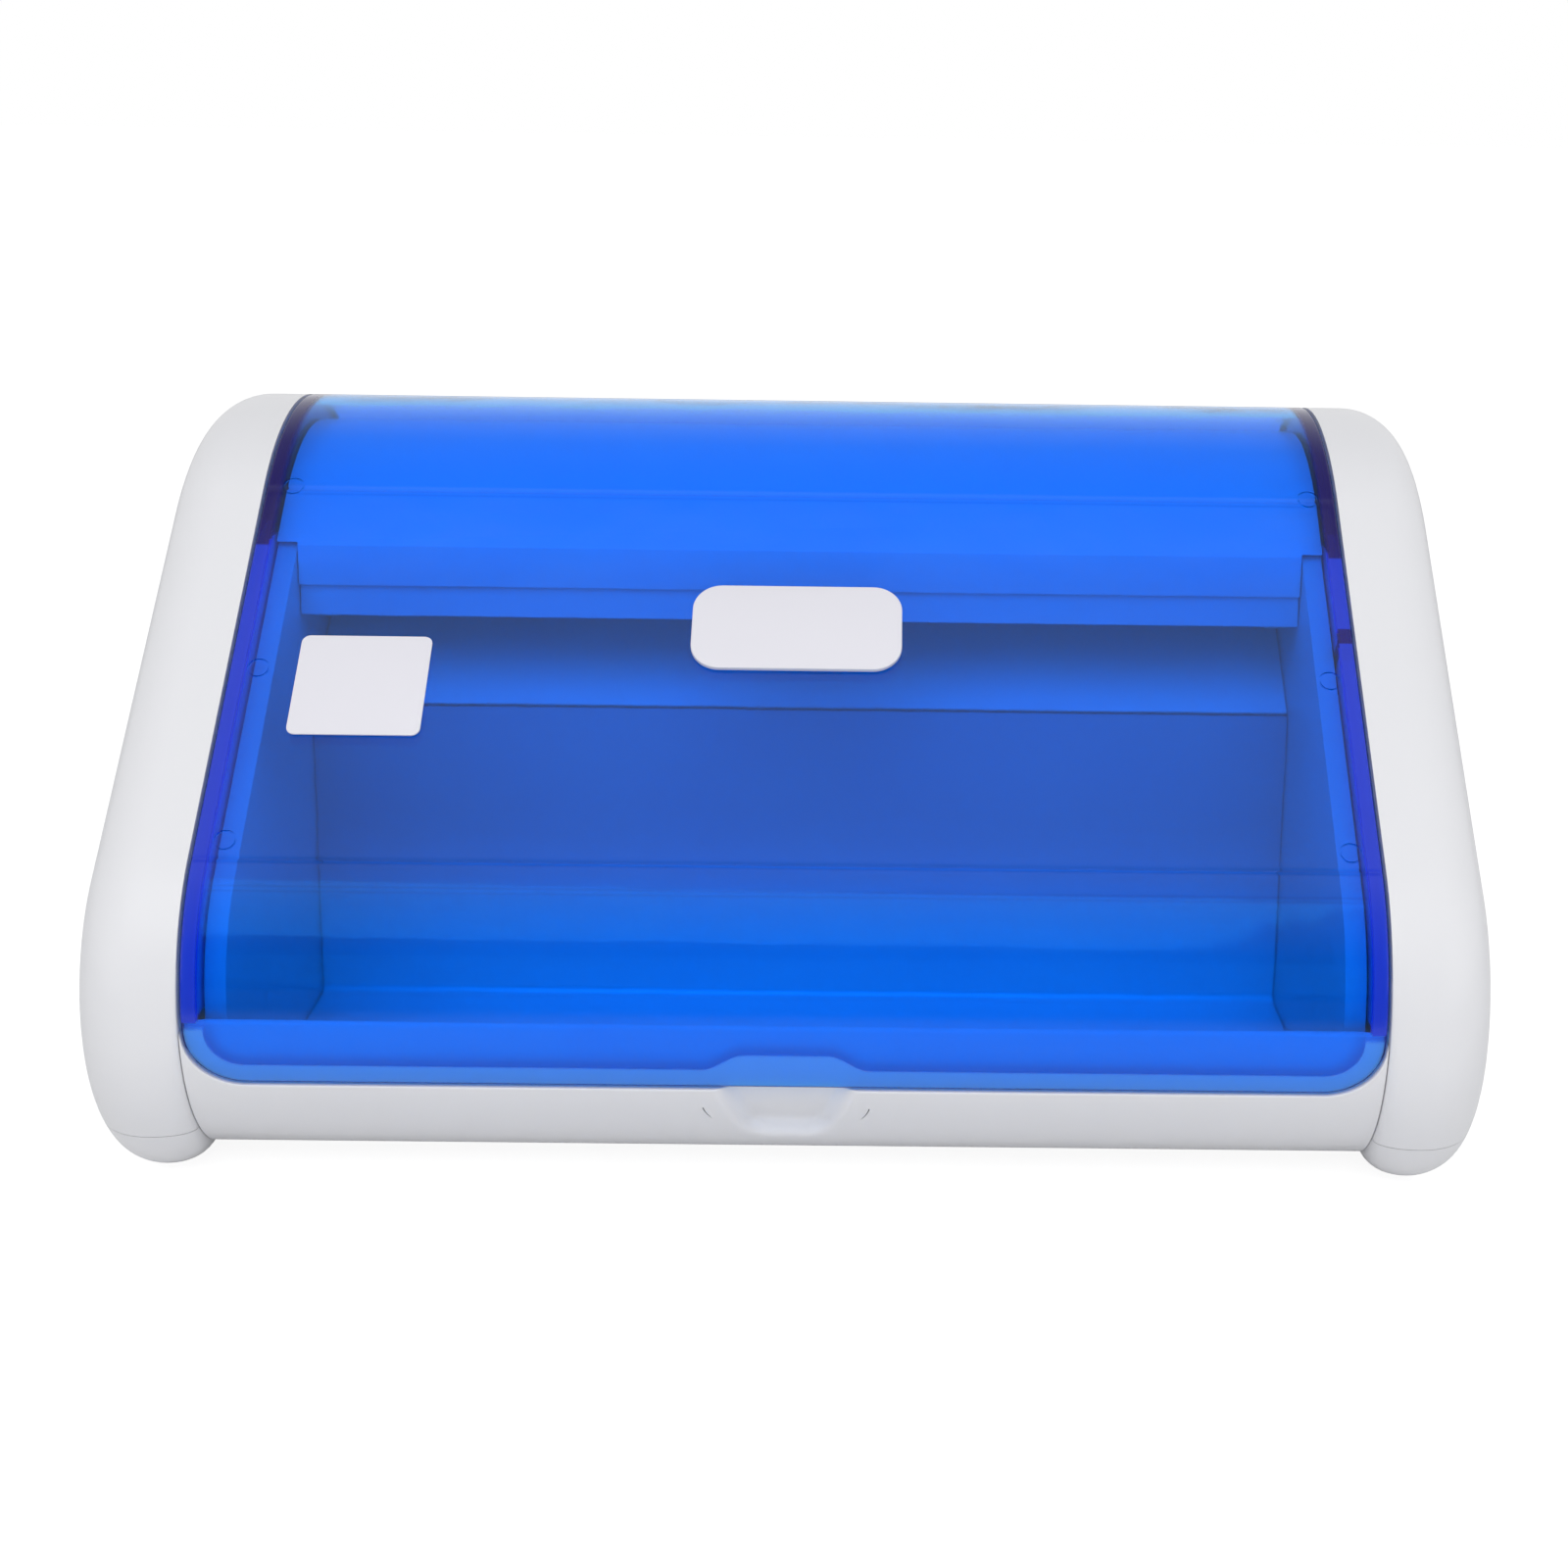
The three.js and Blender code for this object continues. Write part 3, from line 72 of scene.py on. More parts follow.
noseCentre = Vector((side["noseRadius"], side["noseHeight"]))
slopeRun = turned(side["slopeAngle"])
slopeNormal = Vector((-slopeRun.y, slopeRun.x))
normalAngle = side["slopeAngle"] + math.pi / 2
slopeFoot = noseCentre + slopeNormal * side["noseRadius"]
slopeHead = slopeFoot + slopeRun * side["slopeLength"]
crownCentre = slopeHead - slopeNormal * side["crownRadius"]
hinge = crownCentre + turned(side["rearTurn"]) * (side["crownRadius"] - side["rearRadius"])
cheekRearRadius = side["rearRadius"] + side["rearStand"]
cheekRearCentre = crownCentre + turned(side["rearTurn"]) * (side["crownRadius"] - cheekRearRadius)
rearFace = cheekRearCentre.x + cheekRearRadius
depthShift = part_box("rear_panel")[1].y / milli - rearFace


def place(x, depth, height):
    return Vector((x, depth + depthShift, height)) * milli


def steps(start, end, count):
    return [start + (end - start) * i / count for i in range(count + 1)]


def arc(centre, radius, start, end, count):
    return [centre + turned(angle) * radius for angle in steps(start, end, count)]


def line(start, end, count):
    return [start.lerp(end, i / count) for i in range(count + 1)]


def joined(*runs):
    points = []
    for point in (p for run in runs for p in run):
        if not points or (points[-1] - point).length > 1e-4:
            points.append(point)
    return points


def slopePoint(along, inset):
    return slopeFoot + slopeRun * along - slopeNormal * inset


def slopeHeightAt(depth, inset):
    start = slopePoint(0, inset)
    return start.y + (depth - start.x) * math.tan(side["slopeAngle"])


def noseAngle(height, inset=0.0):
    return math.pi + math.asin((side["noseHeight"] - height) / (side["noseRadius"] - inset))


def nosePoint(height, inset=0.0):
    return noseCentre + turned(noseAngle(height, inset)) * (side["noseRadius"] - inset)


def shellPath(inset, start, end, counts):
    nose, slope, crown, rear = counts
    return joined(
        arc(noseCentre, side["noseRadius"] - inset, start, normalAngle, nose),
        line(slopePoint(0, inset), slopePoint(side["slopeLength"], inset), slope),
        arc(crownCentre, side["crownRadius"] - inset, normalAngle, side["rearTurn"], crown),
        arc(hinge, side["rearRadius"] - inset, side["rearTurn"], end, rear),
    )


def smoothStep(value, low, high):
    share = min(max((value - low) / (high - low), 0), 1)
    return share * share * (3 - 2 * share)


# Meshes
def pieceFrom(name, mesh, sharpAngle=32):
    mesh.name = name
    mesh.shade_smooth()
    mesh.set_sharp_from_angle(angle=math.radians(sharpAngle))
    piece = bpy.data.objects.new(name, mesh)
    bpy.context.scene.collection.objects.link(piece)
    return piece


# A closed skin through rings of points, capped at both ends, or joined end to end where it is hollow
def skin(rings, cutPlanes=(), hollow=False):
    build = bmesh.new()
    made = [[build.verts.new(point) for point in ring] for ring in rings]
    for near, far in zip(made, made[1:] + (made[:1] if hollow else [])):
        for i in range(len(near)):
            j = (i + 1) % len(near)
            build.faces.new([near[i], near[j], far[j], far[i]])
    if not hollow:
        build.faces.new(made[0])
        build.faces.new(made[-1])
    for point, normal in cutPlanes:  # what lies on the normal's side is cut away, and the cut is closed
        everything = build.verts[:] + build.edges[:] + build.faces[:]
        result = bmesh.ops.bisect_plane(
            build, geom=everything, plane_co=point, plane_no=normal, clear_outer=True)
        edges = [e for e in result["geom_cut"] if isinstance(e, bmesh.types.BMEdge)]
        bmesh.ops.contextual_create(build, geom=edges)
    bmesh.ops.remove_doubles(build, verts=build.verts[:], dist=1e-7)
    bmesh.ops.recalc_face_normals(build, faces=build.faces[:])
    mesh = bpy.data.meshes.new("made")
    build.to_mesh(mesh)
    build.free()
    return mesh


# A skin along X through rings of (x, [(depth, height)...])
def loft(rings, cutPlanes=()):
    return skin([[place(x, p.x, p.y) for p in points] for x, points in rings], cutPlanes)


def prism(outline, fromX, toX):
    return loft([(fromX, outline), (toX, outline)])


def sheetOutline(path, wall):
    inner = []
    for i, point in enumerate(path):
        arriving = (point - path[i - 1]).normalized() if i else None
        leaving = (path[i + 1] - point).normalized() if i + 1 < len(path) else None
        first, second = arriving or leaving, leaving or arriving
        turn = (first + second).normalized()
        reach = wall / turn.dot(first)
        inner.append(Vector((point.x + turn.y * reach, point.y - turn.x * reach)))
    return path + inner[::-1]


def box(xs, depths, heights):
    near, far = depths
    low, high = heights
    return prism([Vector((near, low)), Vector((far, low)), Vector((far, high)), Vector((near, high))], *xs)


def pegX(centre, radius, fromX, toX, count=48):
    return prism(arc(Vector(centre), radius, 0, math.tau, count)[:-1], fromX, toX)


# A plate standing across the box, from an outline of (x, height)
def standing(outline, fromDepth, toDepth):
    return skin([[place(p.x, depth, p.y) for p in outline] for depth in (fromDepth, toDepth)])


def aboutX(centre):
    return lambda t, a, b: place(t, centre.x + a, centre.y + b)


def aboutDepth(x, height):
    return lambda t, a, b: place(x + a, t, height + b)


def aboutHeight(x, depth):
    return lambda t, a, b: place(x + a, depth + b, t)


# A turning from rings of (place along the axis, radius)
def lathe(profile, pointAt, count=56, hollow=False):
    angles = [math.tau * i / count for i in range(count)]
    rings = [[pointAt(t, r * math.cos(a), r * math.sin(a)) for a in angles] for t, r in profile]
    return skin(rings, hollow=hollow)


def rod(pointAt, radius, start, end, count=40):
    return lathe([(start, radius), (end, radius)], pointAt, count)


def roundedRectangle(halfWidth, halfHeight, corner, count=8):
    points = []
    for sx, sy, start in ((1, 1, 0), (-1, 1, 1), (-1, -1, 2), (1, -1, 3)):
        centre = Vector((sx * (halfWidth - corner), sy * (halfHeight - corner)))
        points += arc(centre, corner, start * math.pi / 2, (start + 1) * math.pi / 2, count)
    return points


def moved(points, x, y):
    return [Vector((p.x + x, p.y + y)) for p in points]


def mirroredMesh(mesh):
    copy = mesh.copy()
    copy.transform(Matrix.Scale(-1, 4, Vector((1, 0, 0))))
    copy.flip_normals()
    return copy


# Join or cut meshes exactly
def combine(base, tools, operation):
    holder = bpy.data.objects.new("base", base)
    bpy.context.scene.collection.objects.link(holder)
    helpers = []
    for tool in tools:
        helper = bpy.data.objects.new("tool", tool)
        bpy.context.scene.collection.objects.link(helper)
        helpers.append(helper)
        change = holder.modifiers.new("change", "BOOLEAN")
        change.operation, change.solver, change.object = operation, "EXACT", helper
    result = evaluatedMesh(holder)
    for extra in [holder] + helpers:
        bpy.data.objects.remove(extra)
    return result


def evaluatedMesh(piece):
    graph = bpy.context.evaluated_depsgraph_get()
    evaluated = piece.evaluated_get(graph)
    return bpy.data.meshes.new_from_object(evaluated, preserve_all_data_layers=True, depsgraph=graph)


def rounded(piece, width, segments=3, angle=40):
    bevel = piece.modifiers.new("edges", "BEVEL")
    bevel.width, bevel.segments = width * milli, segments
    bevel.limit_method, bevel.angle_limit = "ANGLE", math.radians(angle)
    bevel.harden_normals = False
    mesh = evaluatedMesh(piece)
    piece.modifiers.clear()
    piece.data = mesh
    mesh.shade_smooth()
    mesh.set_sharp_from_angle(angle=math.radians(35))
    return piece


# Node trees. A Wire is one output socket, and sums on wires add Math nodes
class Wire:
    def __init__(self, tree, socket):
        self.tree, self.socket = tree, socket

    def math(self, operation, *parts):
        node = self.tree.nodes.new("ShaderNodeMath")
        node.operation = operation
        for socket, part in zip(node.inputs, parts):
            if isinstance(part, Wire):
                self.tree.links.new(part.socket, socket)
            else:
                socket.default_value = part
        return Wire(self.tree, node.outputs[0])

    def __add__(self, other):
        return self.math("ADD", self, other)

    def __radd__(self, other):
        return self.math("ADD", other, self)

    def __sub__(self, other):
        return self.math("SUBTRACT", self, other)

    def __rsub__(self, other):
        return self.math("SUBTRACT", other, self)

    def __mul__(self, other):
        return self.math("MULTIPLY", self, other)

    def __rmul__(self, other):
        return self.math("MULTIPLY", other, self)

    def __abs__(self):
        return self.math("ABSOLUTE", self)

    def atLeast(self, other):
        return self.math("MAXIMUM", self, other)


class Graph:
    def __init__(self, tree):
        self.tree = tree

    def node(self, kind, settings=None, values=None, out=0):
        made = self.tree.nodes.new(kind)
        for key, value in (settings or {}).items():
            if key == "stops":
                ramp = made.color_ramp
                while len(ramp.elements) < len(value):
                    ramp.elements.new(0.5)
                for element, (position, color) in zip(ramp.elements, value):
                    element.position, element.color = position, color
            else:
                setattr(made, key, value)
        for key, value in (values or {}).items():
            socket = made.inputs[key]
            # a list fills a socket that takes several
            for part in value if isinstance(value, list) else [value]:
                if isinstance(part, Wire):
                    self.tree.links.new(part.socket, socket)
                else:
                    socket.default_value = part
        return Wire(self.tree, made.outputs[out])

    def component(self, vector, name):
        return self.node("ShaderNodeSeparateXYZ", values={0: vector}, out=name)

    def rising(self, value, low, high, shape="LINEAR"):  # 0 at low, 1 at high
        return self.node("ShaderNodeMapRange", {"interpolation_type": shape},
                         {"Value": value, "From Min": low, "From Max": high})

    def mixColor(self, share, first, second):
        return self.node("ShaderNodeMix", {"data_type": "RGBA"}, {0: share, 6: first, 7: second}, out=2)

    def mixShader(self, share, first, second):
        return self.node("ShaderNodeMixShader", values={0: share, 1: first, 2: second})

    def ray(self, kind):
        return self.node("ShaderNodeLightPath", out=f"Is {kind} Ray")

    def output(self, kind, surface):
        last = self.tree.nodes.new(kind)
        self.tree.links.new(surface.socket, last.inputs["Surface"])


class Finish(Graph):
    def __init__(self, name):
        self.material = bpy.data.materials.new(name)
        self.material.use_nodes = True
        super().__init__(self.material.node_tree)
        self.tree.nodes.clear()
        self.place = self.node("ShaderNodeTexCoord", out="Object")

    def noise(self, scale, detail=2.0, roughness=0.5, stretch=None):
        at = self.place
        if stretch:
            at = self.node("ShaderNodeMapping", values={0: at, "Scale": stretch})
        return self.node("ShaderNodeTexNoise", values={
            "Vector": at, "Scale": scale, "Detail": detail, "Roughness": roughness})

    def axis(self, name):
        return self.component(self.place, name)

    def bump(self, height, distance):
        return self.node("ShaderNodeBump", values={"Height": height, "Distance": distance, "Strength": 1.0})

    def principled(self, values):
        return self.node("ShaderNodeBsdfPrincipled", values=values)

    def diffuse(self, color):
        return self.node("ShaderNodeBsdfDiffuse", values={"Color": color})

    def done(self, surface):
        self.output("ShaderNodeOutputMaterial", surface)
        return self.material

    # Lamps reach through it: for shadow rays it is a plain tinted film
    def clearDone(self, surface, filmColor):
        film = self.node("ShaderNodeBsdfTransparent", values={"Color": filmColor})
        return self.done(self.mixShader(self.ray("Shadow"), surface, film))


# Geometry Nodes tree with named inputs, run on a mesh and turned into a plain mesh
class NodeShape(Graph):
    kinds = {int: "NodeSocketInt", float: "NodeSocketFloat"}

    def __init__(self, name, sizes, material):
        super().__init__(bpy.data.node_groups.new(name, "GeometryNodeTree"))
        sockets = self.tree.interface
        sockets.new_socket("Geometry", in_out="INPUT", socket_type="NodeSocketGeometry")
        sockets.new_socket("Geometry", in_out="OUTPUT", socket_type="NodeSocketGeometry")
        self.sizes = {}
        for key, value in sizes.items():
            socket = sockets.new_socket(key, in_out="INPUT", socket_type=self.kinds[type(value)])
            self.sizes[key] = (socket, value)
        self.given = self.tree.nodes.new("NodeGroupInput")
        self.material = material

    def size(self, name):
        return Wire(self.tree, self.given.outputs[name])

    def vector(self, x=0.0, y=0.0, z=0.0):
        return self.node("ShaderNodeCombineXYZ", values={"X": x, "Y": y, "Z": z})

    def cube(self, *size):
        return self.node("GeometryNodeMeshCube", values={"Size": self.vector(*size)})

    def cylinder(self, vertices, radius, depth):
        return self.node("GeometryNodeMeshCylinder", values={
            "Vertices": vertices, "Radius": radius, "Depth": depth})

    def shifted(self, shape, offset, turn=(0, 0, 0)):
        return self.node("GeometryNodeTransform", values={
            "Geometry": shape, "Translation": offset, "Rotation": turn})

    def together(self, *shapes):
        return self.node("GeometryNodeJoinGeometry", values={"Geometry": list(shapes)})

    def boolean(self, operation, first, *others):
        values = {"Self Intersection": True}
        if operation == "DIFFERENCE":
            values["Mesh 1"] = first
            values["Mesh 2"] = list(others)
        else:
            values["Mesh 2"] = [first] + list(others)
        return self.node("GeometryNodeMeshBoolean", {"operation": operation, "solver": "EXACT"}, values)

    # The points' "facing" attribute gives each copy its direction, and a fixed seed its turn about it
    def copiesAt(self, points, shape, seed=None):
        facing = self.node(
            "GeometryNodeInputNamedAttribute", {"data_type": "FLOAT_VECTOR"}, {"Name": "facing"})
        turn = self.node("FunctionNodeAlignRotationToVector", {"axis": "Z"}, {"Vector": facing})
        if seed is not None:
            spin = self.node("FunctionNodeRandomValue", {"data_type": "FLOAT"},
                             {2: 0.0, 3: 1.5, "Seed": seed}, out=1)
            about = self.node("FunctionNodeEulerToRotation", values={0: self.vector(z=spin)})
            turn = self.node("FunctionNodeRotateRotation", {"rotation_space": "LOCAL"},
                             {"Rotation": turn, "Rotate By": about})
        return self.node("GeometryNodeInstanceOnPoints", values={
            "Points": points, "Instance": shape, "Rotation": turn})

    def meshOf(self, mesh, result):
        real = self.node("GeometryNodeRealizeInstances", values={"Geometry": result})
        last = self.node("GeometryNodeSetMaterial", values={"Geometry": real, "Material": self.material})
        output = self.tree.nodes.new("NodeGroupOutput")
        self.tree.links.new(last.socket, output.inputs["Geometry"])
        holder = bpy.data.objects.new("shaping", mesh)
        bpy.context.scene.collection.objects.link(holder)
        change = holder.modifiers.new("shape", "NODES")
        change.node_group = self.tree
        for socket, value in self.sizes.values():
            change[socket.identifier] = value
        made = evaluatedMesh(holder)
        bpy.data.objects.remove(holder)
        return made


# Points with the direction that what stands on each of them faces
def placesMesh(places):
    mesh = bpy.data.meshes.new("places")
    mesh.from_pydata([p for p, _ in places], [], [])
    facing = mesh.attributes.new("facing", "FLOAT_VECTOR", "POINT")
    facing.data.foreach_set("vector", [c for _, d in places for c in d])
    return mesh


def grey(level, tint=(1, 1, 1)):
    return (level * tint[0], level * tint[1], level * tint[2], 1)


# Moulded plastic: slight mottling of colour and gloss, a fine grain, and the long waves of a moulded wall
def mouldedPlastic(name, color, roughness, grain=0.00001):
    finish = Finish(name)
    cloud = finish.noise(9, 3)
    fine = finish.noise(2600, 2)
    wave = finish.noise(22, 1)
    darker = grey(0.965, color[:3])
    return finish.done(finish.principled({
        "Base Color": finish.mixColor(cloud, darker, color),
        "Roughness": finish.noise(140, 3) * 0.08 + (roughness - 0.04),
        "Normal": finish.bump(fine * 0.6 + wave * 12.0, grain),
    }))


# Sheet metal, with lines along X where it is brushed, and painted light and shade where low is given: lighter
# towards the table, darker higher up
def sheetMetal(name, color, roughness, lines, metallic=1.0, low=None):
    finish = Finish(name)
    brush = finish.noise(60, 5, 0.65, (1, 60, 60)) if lines else finish.noise(300, 5, 0.65)
    cloud = finish.noise(14, 3)
    if low:
        height = finish.rising(finish.axis("Z"), low["from"], low["to"], "SMOOTHSTEP")
        color = finish.mixColor(height, low["color"], color)
    darker = finish.mixColor(0.14, color, (0, 0, 0, 1))
    return finish.done(finish.principled({
        "Base Color": finish.mixColor(brush * 0.6 + cloud * 0.4, darker, color),
        "Metallic": metallic,
        "Roughness": brush * 0.16 + (roughness - 0.08),
        "Normal": finish.bump(brush, 0.00003 if lines else 0.000008),
    }))


glassLook = {
    "tint": (0.03, 0.405, 0.99, 1),  # what one wall lets through
    "deeper": (0.8, 0.93, 1.0), "ior": 1.4, "roughness": 0.045,
    # painted shade: a darker band along the shoulder above the lip
    "shoulderShade": (0.05, 0.31, 0.8, 1), "shoulderBand": 4.0, "stepSoft": (-0.3, 0.1),
    "lipLine": (0.02, 0.02, 0.17, 1), "lineSoft": (0.5, 0.7), "lipTop": (52.0, 54.0),
    # painted light and shade in the thick edge: a violet glow, shade above the hood and a lighter inner side
    # are painted
    "paintedEdgeGlow": (0.016, 0.05, 0.68, 1), "paintedShadeAboveHood": (0.012, 0.006, 0.12, 1),
    "paintedInnerSideLight": (0.3, 0.5, 1.0, 1), "edgeShare": 0.8, "flangeFrom": 157.2, "flangeLow": 54.2,
    "hoodFrom": 165.6, "soft": 0.5,
    # painted light: the lip is painted brighter; painted shade: the creases are painted darker
    "paintedLipGlow": (0.13, 0.46, 1.0, 1), "lipShare": 0.34, "creaseShade": (0.03, 0.3, 0.85, 1), "creaseHalf": 0.55,
    # the flange takes the painted shade colour where the dark interlock sits behind it
    "switchView": (77.3, 82.6), "switchSoft": 0.4,  # here the flange lets the dark interlock show
}


# Distance from the cover's border at the front, round its lower corners
def borderDistance(sideways, height):
    corner = cover["corner"]
    over = (sideways - (across["cover"] - corner)).atLeast(0.0)
    under = (cover["lowEdge"] + corner - height).atLeast(0.0)
    return corner - over.math("SQRT", over * over + under * under)


def blueMoulding():
    finish, look = Finish("blueMoulding"), glassLook
    streaks, speck = finish.noise(30), finish.noise(900)
    rightward, height = finish.axis("X") * 1000.0, finish.axis("Z") * 1000.0
    sideways = abs(rightward)
    fromEdge = borderDistance(sideways, height)
    arch = finish.rising(sideways, cover["archFrom"], cover["archTo"], "SMOOTHSTEP") * cover["shoulderArch"]
    fromStep = fromEdge - arch - cover["lip"]
    beyondStep, insideStep = look["stepSoft"]
    shoulder = finish.rising(fromStep, look["shoulderBand"], 0.0)
    shoulder = shoulder * finish.rising(fromStep, beyondStep, insideStep)
    shoulder = shoulder * finish.rising(height, *cover["shoulderTop"][::-1])
    # the wall that is looked through, with painted shade along the creases and the shoulder, and a darker
    # border line
    depth = finish.axis("Y") * 1000.0 - (depthShift + slopeFoot.x)
    along = depth * slopeRun.x + (height - slopeFoot.y) * slopeRun.y
    deeper = grey(1.0, [part * share for part, share in zip(look["tint"], look["deeper"])])
    color = finish.mixColor(streaks, deeper, look["tint"])
    # painted shade: the creases are painted darker
    for bend, _ in cover["creases"]:
        creased = finish.rising(abs(along - bend), look["creaseHalf"], 0.1)
        color = finish.mixColor(creased, color, look["creaseShade"])
    # painted shade along the shoulder
    color = finish.mixColor(shoulder, color, look["shoulderShade"])
    border = finish.rising(fromEdge, *look["lineSoft"][::-1])
    clear = finish.principled({
        "Base Color": finish.mixColor(border, color, look["lipLine"]),
        "Roughness": speck * 0.02 + look["roughness"],
        "IOR": look["ior"], "Transmission Weight": 1.0,
        "Normal": finish.bump(streaks, 0.0002),
    })
    # painted light and shade in the thick edges and the lip: a painted glow, painted shade above the hood and
    # where the interlock shows, a painted lighter inner side
    first, last = look["switchView"]
    window = finish.rising(along, first, first + look["switchSoft"])
    window = window * finish.rising(along, last + look["switchSoft"], last)
    window = window * finish.rising(rightward, 0.0, 1.0)
    above = finish.rising(height, look["hoodFrom"], look["hoodFrom"] + look["soft"]).atLeast(window)
    lively = finish.noise(60, 3, 0.6, (4, 0.5, 0.5))
    glow = finish.mixColor(lively, tuple(c * 0.8 for c in look["paintedEdgeGlow"]), look["paintedEdgeGlow"])
    facing = finish.component(finish.node("ShaderNodeTexCoord", out="Normal"), "X")
    outward = facing * rightward.math("SIGN", rightward)  # 1 on the flange's outer side, -1 on its inner side
    glow = finish.mixColor(finish.rising(outward, -0.5, -0.8), glow, look["paintedInnerSideLight"])
    lip = finish.rising(fromStep, insideStep, beyondStep) * finish.rising(height, *look["lipTop"][::-1])
    lip = lip * finish.rising(fromEdge, *look["lineSoft"])
    glow = finish.mixColor(lip, finish.mixColor(above, glow, look["paintedShadeAboveHood"]), look["paintedLipGlow"])
    edge = finish.principled({"Base Color": glow, "Roughness": speck * 0.05 + 0.08, "IOR": look["ior"]})
    inFlange = finish.rising(sideways, look["flangeFrom"], look["flangeFrom"] + look["soft"])
    inFlange = inFlange * finish.rising(outward, 0.8, 0.5)
    inFlange = inFlange * finish.rising(height, look["flangeLow"], look["flangeLow"] + look["soft"])
    share = (inFlange * look["edgeShare"]).atLeast(lip * look["lipShare"])
    halfTint = tuple(c ** 0.5 for c in look["tint"])
    return finish.clearDone(finish.mixShader(share, clear, edge), halfTint)


def tubeGlass():
    finish = Finish("tubeGlass")
    haze = finish.noise(40, 3)
    clear = finish.principled({
        "Base Color": finish.mixColor(haze, (0.86, 0.9, 0.96, 1), (0.95, 0.97, 1, 1)),
        "Roughness": haze * 0.1 + 0.02, "IOR": 1.46, "Transmission Weight": 0.75,
    })
    return finish.clearDone(clear, (0.9, 0.93, 0.98, 1))


# painted light and shade: the chamber's steel is painted lighter near the table and darker higher up, under
# the hood
paintedLightLow = {"color": (0.84, 0.84, 0.87, 1), "from": 0.03, "to": 0.08}
looks = {
    "white_plastic": mouldedPlastic("satinWhite", (0.775, 0.775, 0.8, 1), 0.3),
    "blue_cover": blueMoulding(),
    "bare_plate": mouldedPlastic("whiteSheet", (0.755, 0.745, 0.8, 1), 0.3, 0.000004),
    "plated_steel": sheetMetal("platedSteel", (0.66, 0.67, 0.69, 1), 0.3, False),
    "brushed_steel": sheetMetal("brushedSteel", (0.52, 0.53, 0.57, 1), 0.44, True, 0.5, paintedLightLow),
    "polished_aluminium": sheetMetal("polishedAluminium", (0.97, 0.975, 0.985, 1), 0.34, True, 0.2),
    "lamp_glass": tubeGlass(),
    "cream_plastic": mouldedPlastic("creamPlastic", (0.78, 0.74, 0.64, 1), 0.5),
    "black_plastic": mouldedPlastic("blackPlastic", (0.018, 0.018, 0.02, 1), 0.42),
    "black_rubber": mouldedPlastic("blackRubber", (0.022, 0.022, 0.024, 1), 0.8, 0.00003),
    "lead_jacket": mouldedPlastic("leadJacket", (0.7, 0.7, 0.67, 1), 0.55),
}
for part in frame["record"]["subparts"]:  # every solid that stays gets its finish
    node = frame["nodes"][part["node"]]
    node.data.materials.clear()
    node.data.materials.append(looks[part["material_slot"]])


def settle(piece, body, slot, *nodes):
    piece.data.materials.clear()
    piece.data.materials.append(looks[slot])
    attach(piece, body)
    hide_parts(*nodes)
    return piece


# The right-hand mesh at both sides, each replacing its own solid
def settlePair(mesh, suffix, body, slot, node, ease=None):
    pieces = []
    for name, sided in (("left", mirroredMesh(mesh)), ("right", mesh)):
        piece = pieceFrom(name + suffix, sided)
        if ease:
            rounded(piece, *ease)
        pieces.append(settle(piece, body, slot, f"{name}_{node}"))
    return pieces


# Camera at the photograph's angle
view = {"position": (0.0225, -0.7278, 0.2999), "down": math.radians(13.25), "turn": math.radians(0.66),
        "roll": math.radians(-0.87), "lens": 56.42, "shift": (-0.075, -0.0736)}


def addCamera():
    down, turn, roll = view["down"], view["turn"], view["roll"]
    ahead = Vector((math.sin(turn) * math.cos(down), math.cos(turn) * math.cos(down), -math.sin(down)))
    level = Vector((math.cos(turn), -math.sin(turn), 0))
    under = ahead.cross(level)
    right = level * math.cos(roll) + under * math.sin(roll)
    below = under * math.cos(roll) - level * math.sin(roll)
    matrix = Matrix((right, -below, -ahead)).transposed().to_4x4()
    matrix.translation = Vector(view["position"])
    data = bpy.data.cameras.new("camera")
    data.lens, data.sensor_width = view["lens"], 36
    data.shift_x, data.shift_y = view["shift"]  # the photograph was cut out and centred again
    camera = bpy.data.objects.new("camera", data)
    camera.matrix_world = matrix
    bpy.context.scene.collection.objects.link(camera)
    bpy.context.scene.camera = camera


addCamera()
print("camera placed")

# Cheeks and the pan with their lower ends
cheek = {
    "swell": 12.0, "edge": 18.0, "noseStand": 5.6, "toe": 24.0, "heel": 24.0, "lowest": 1.2, "sole": 2.4,
    "split": 18.0, "parting": 0.09, "wall": 2.2, "panUnderside": 9.0,
    "steps": {"nose": 40, "slope": 12, "crown": 22, "turn": 24, "back": 10, "heel": 24, "base": 10, "toe": 14,
              "swell": 14, "edge": 20},
}


def cheekOutline(share, inset):
    radius = side["noseRadius"] + cheek["noseStand"] * share
    centre = slopeFoot - slopeNormal * radius
    lowest = cheek["panUnderside"] + (cheek["lowest"] - cheek["panUnderside"]) * share
    toeHeight = lowest + cheek["toe"]
    reach = radius - cheek["toe"]
    toe = Vector((centre.x - math.sqrt(reach ** 2 - (centre.y - toeHeight) ** 2), toeHeight))
    toeAngle = math.pi + math.atan2(centre.y - toe.y, centre.x - toe.x)
    heel = Vector((rearFace - cheek["heel"], lowest + cheek["heel"]))
    count = cheek["steps"]
    nose = arc(centre, radius - inset, toeAngle, normalAngle, count["nose"])
    crown = arc(crownCentre, side["crownRadius"] - inset, normalAngle, side["rearTurn"], count["crown"])
    turn = arc(cheekRearCentre, cheekRearRadius - inset, side["rearTurn"], 0, count["turn"])
    back = arc(heel, cheek["heel"] - inset, 0, -math.pi / 2, count["heel"])
    toeArc = arc(toe, cheek["toe"] - inset, -math.pi / 2, toeAngle - math.tau, count["toe"])
    runs = (nose, line(nose[-1], crown[0], count["slope"]), crown, turn,
            line(turn[-1], back[0], count["back"]), back, line(back[-1], toeArc[0], count["base"]), toeArc)
    return [point for run in runs for point in run[:-1]]


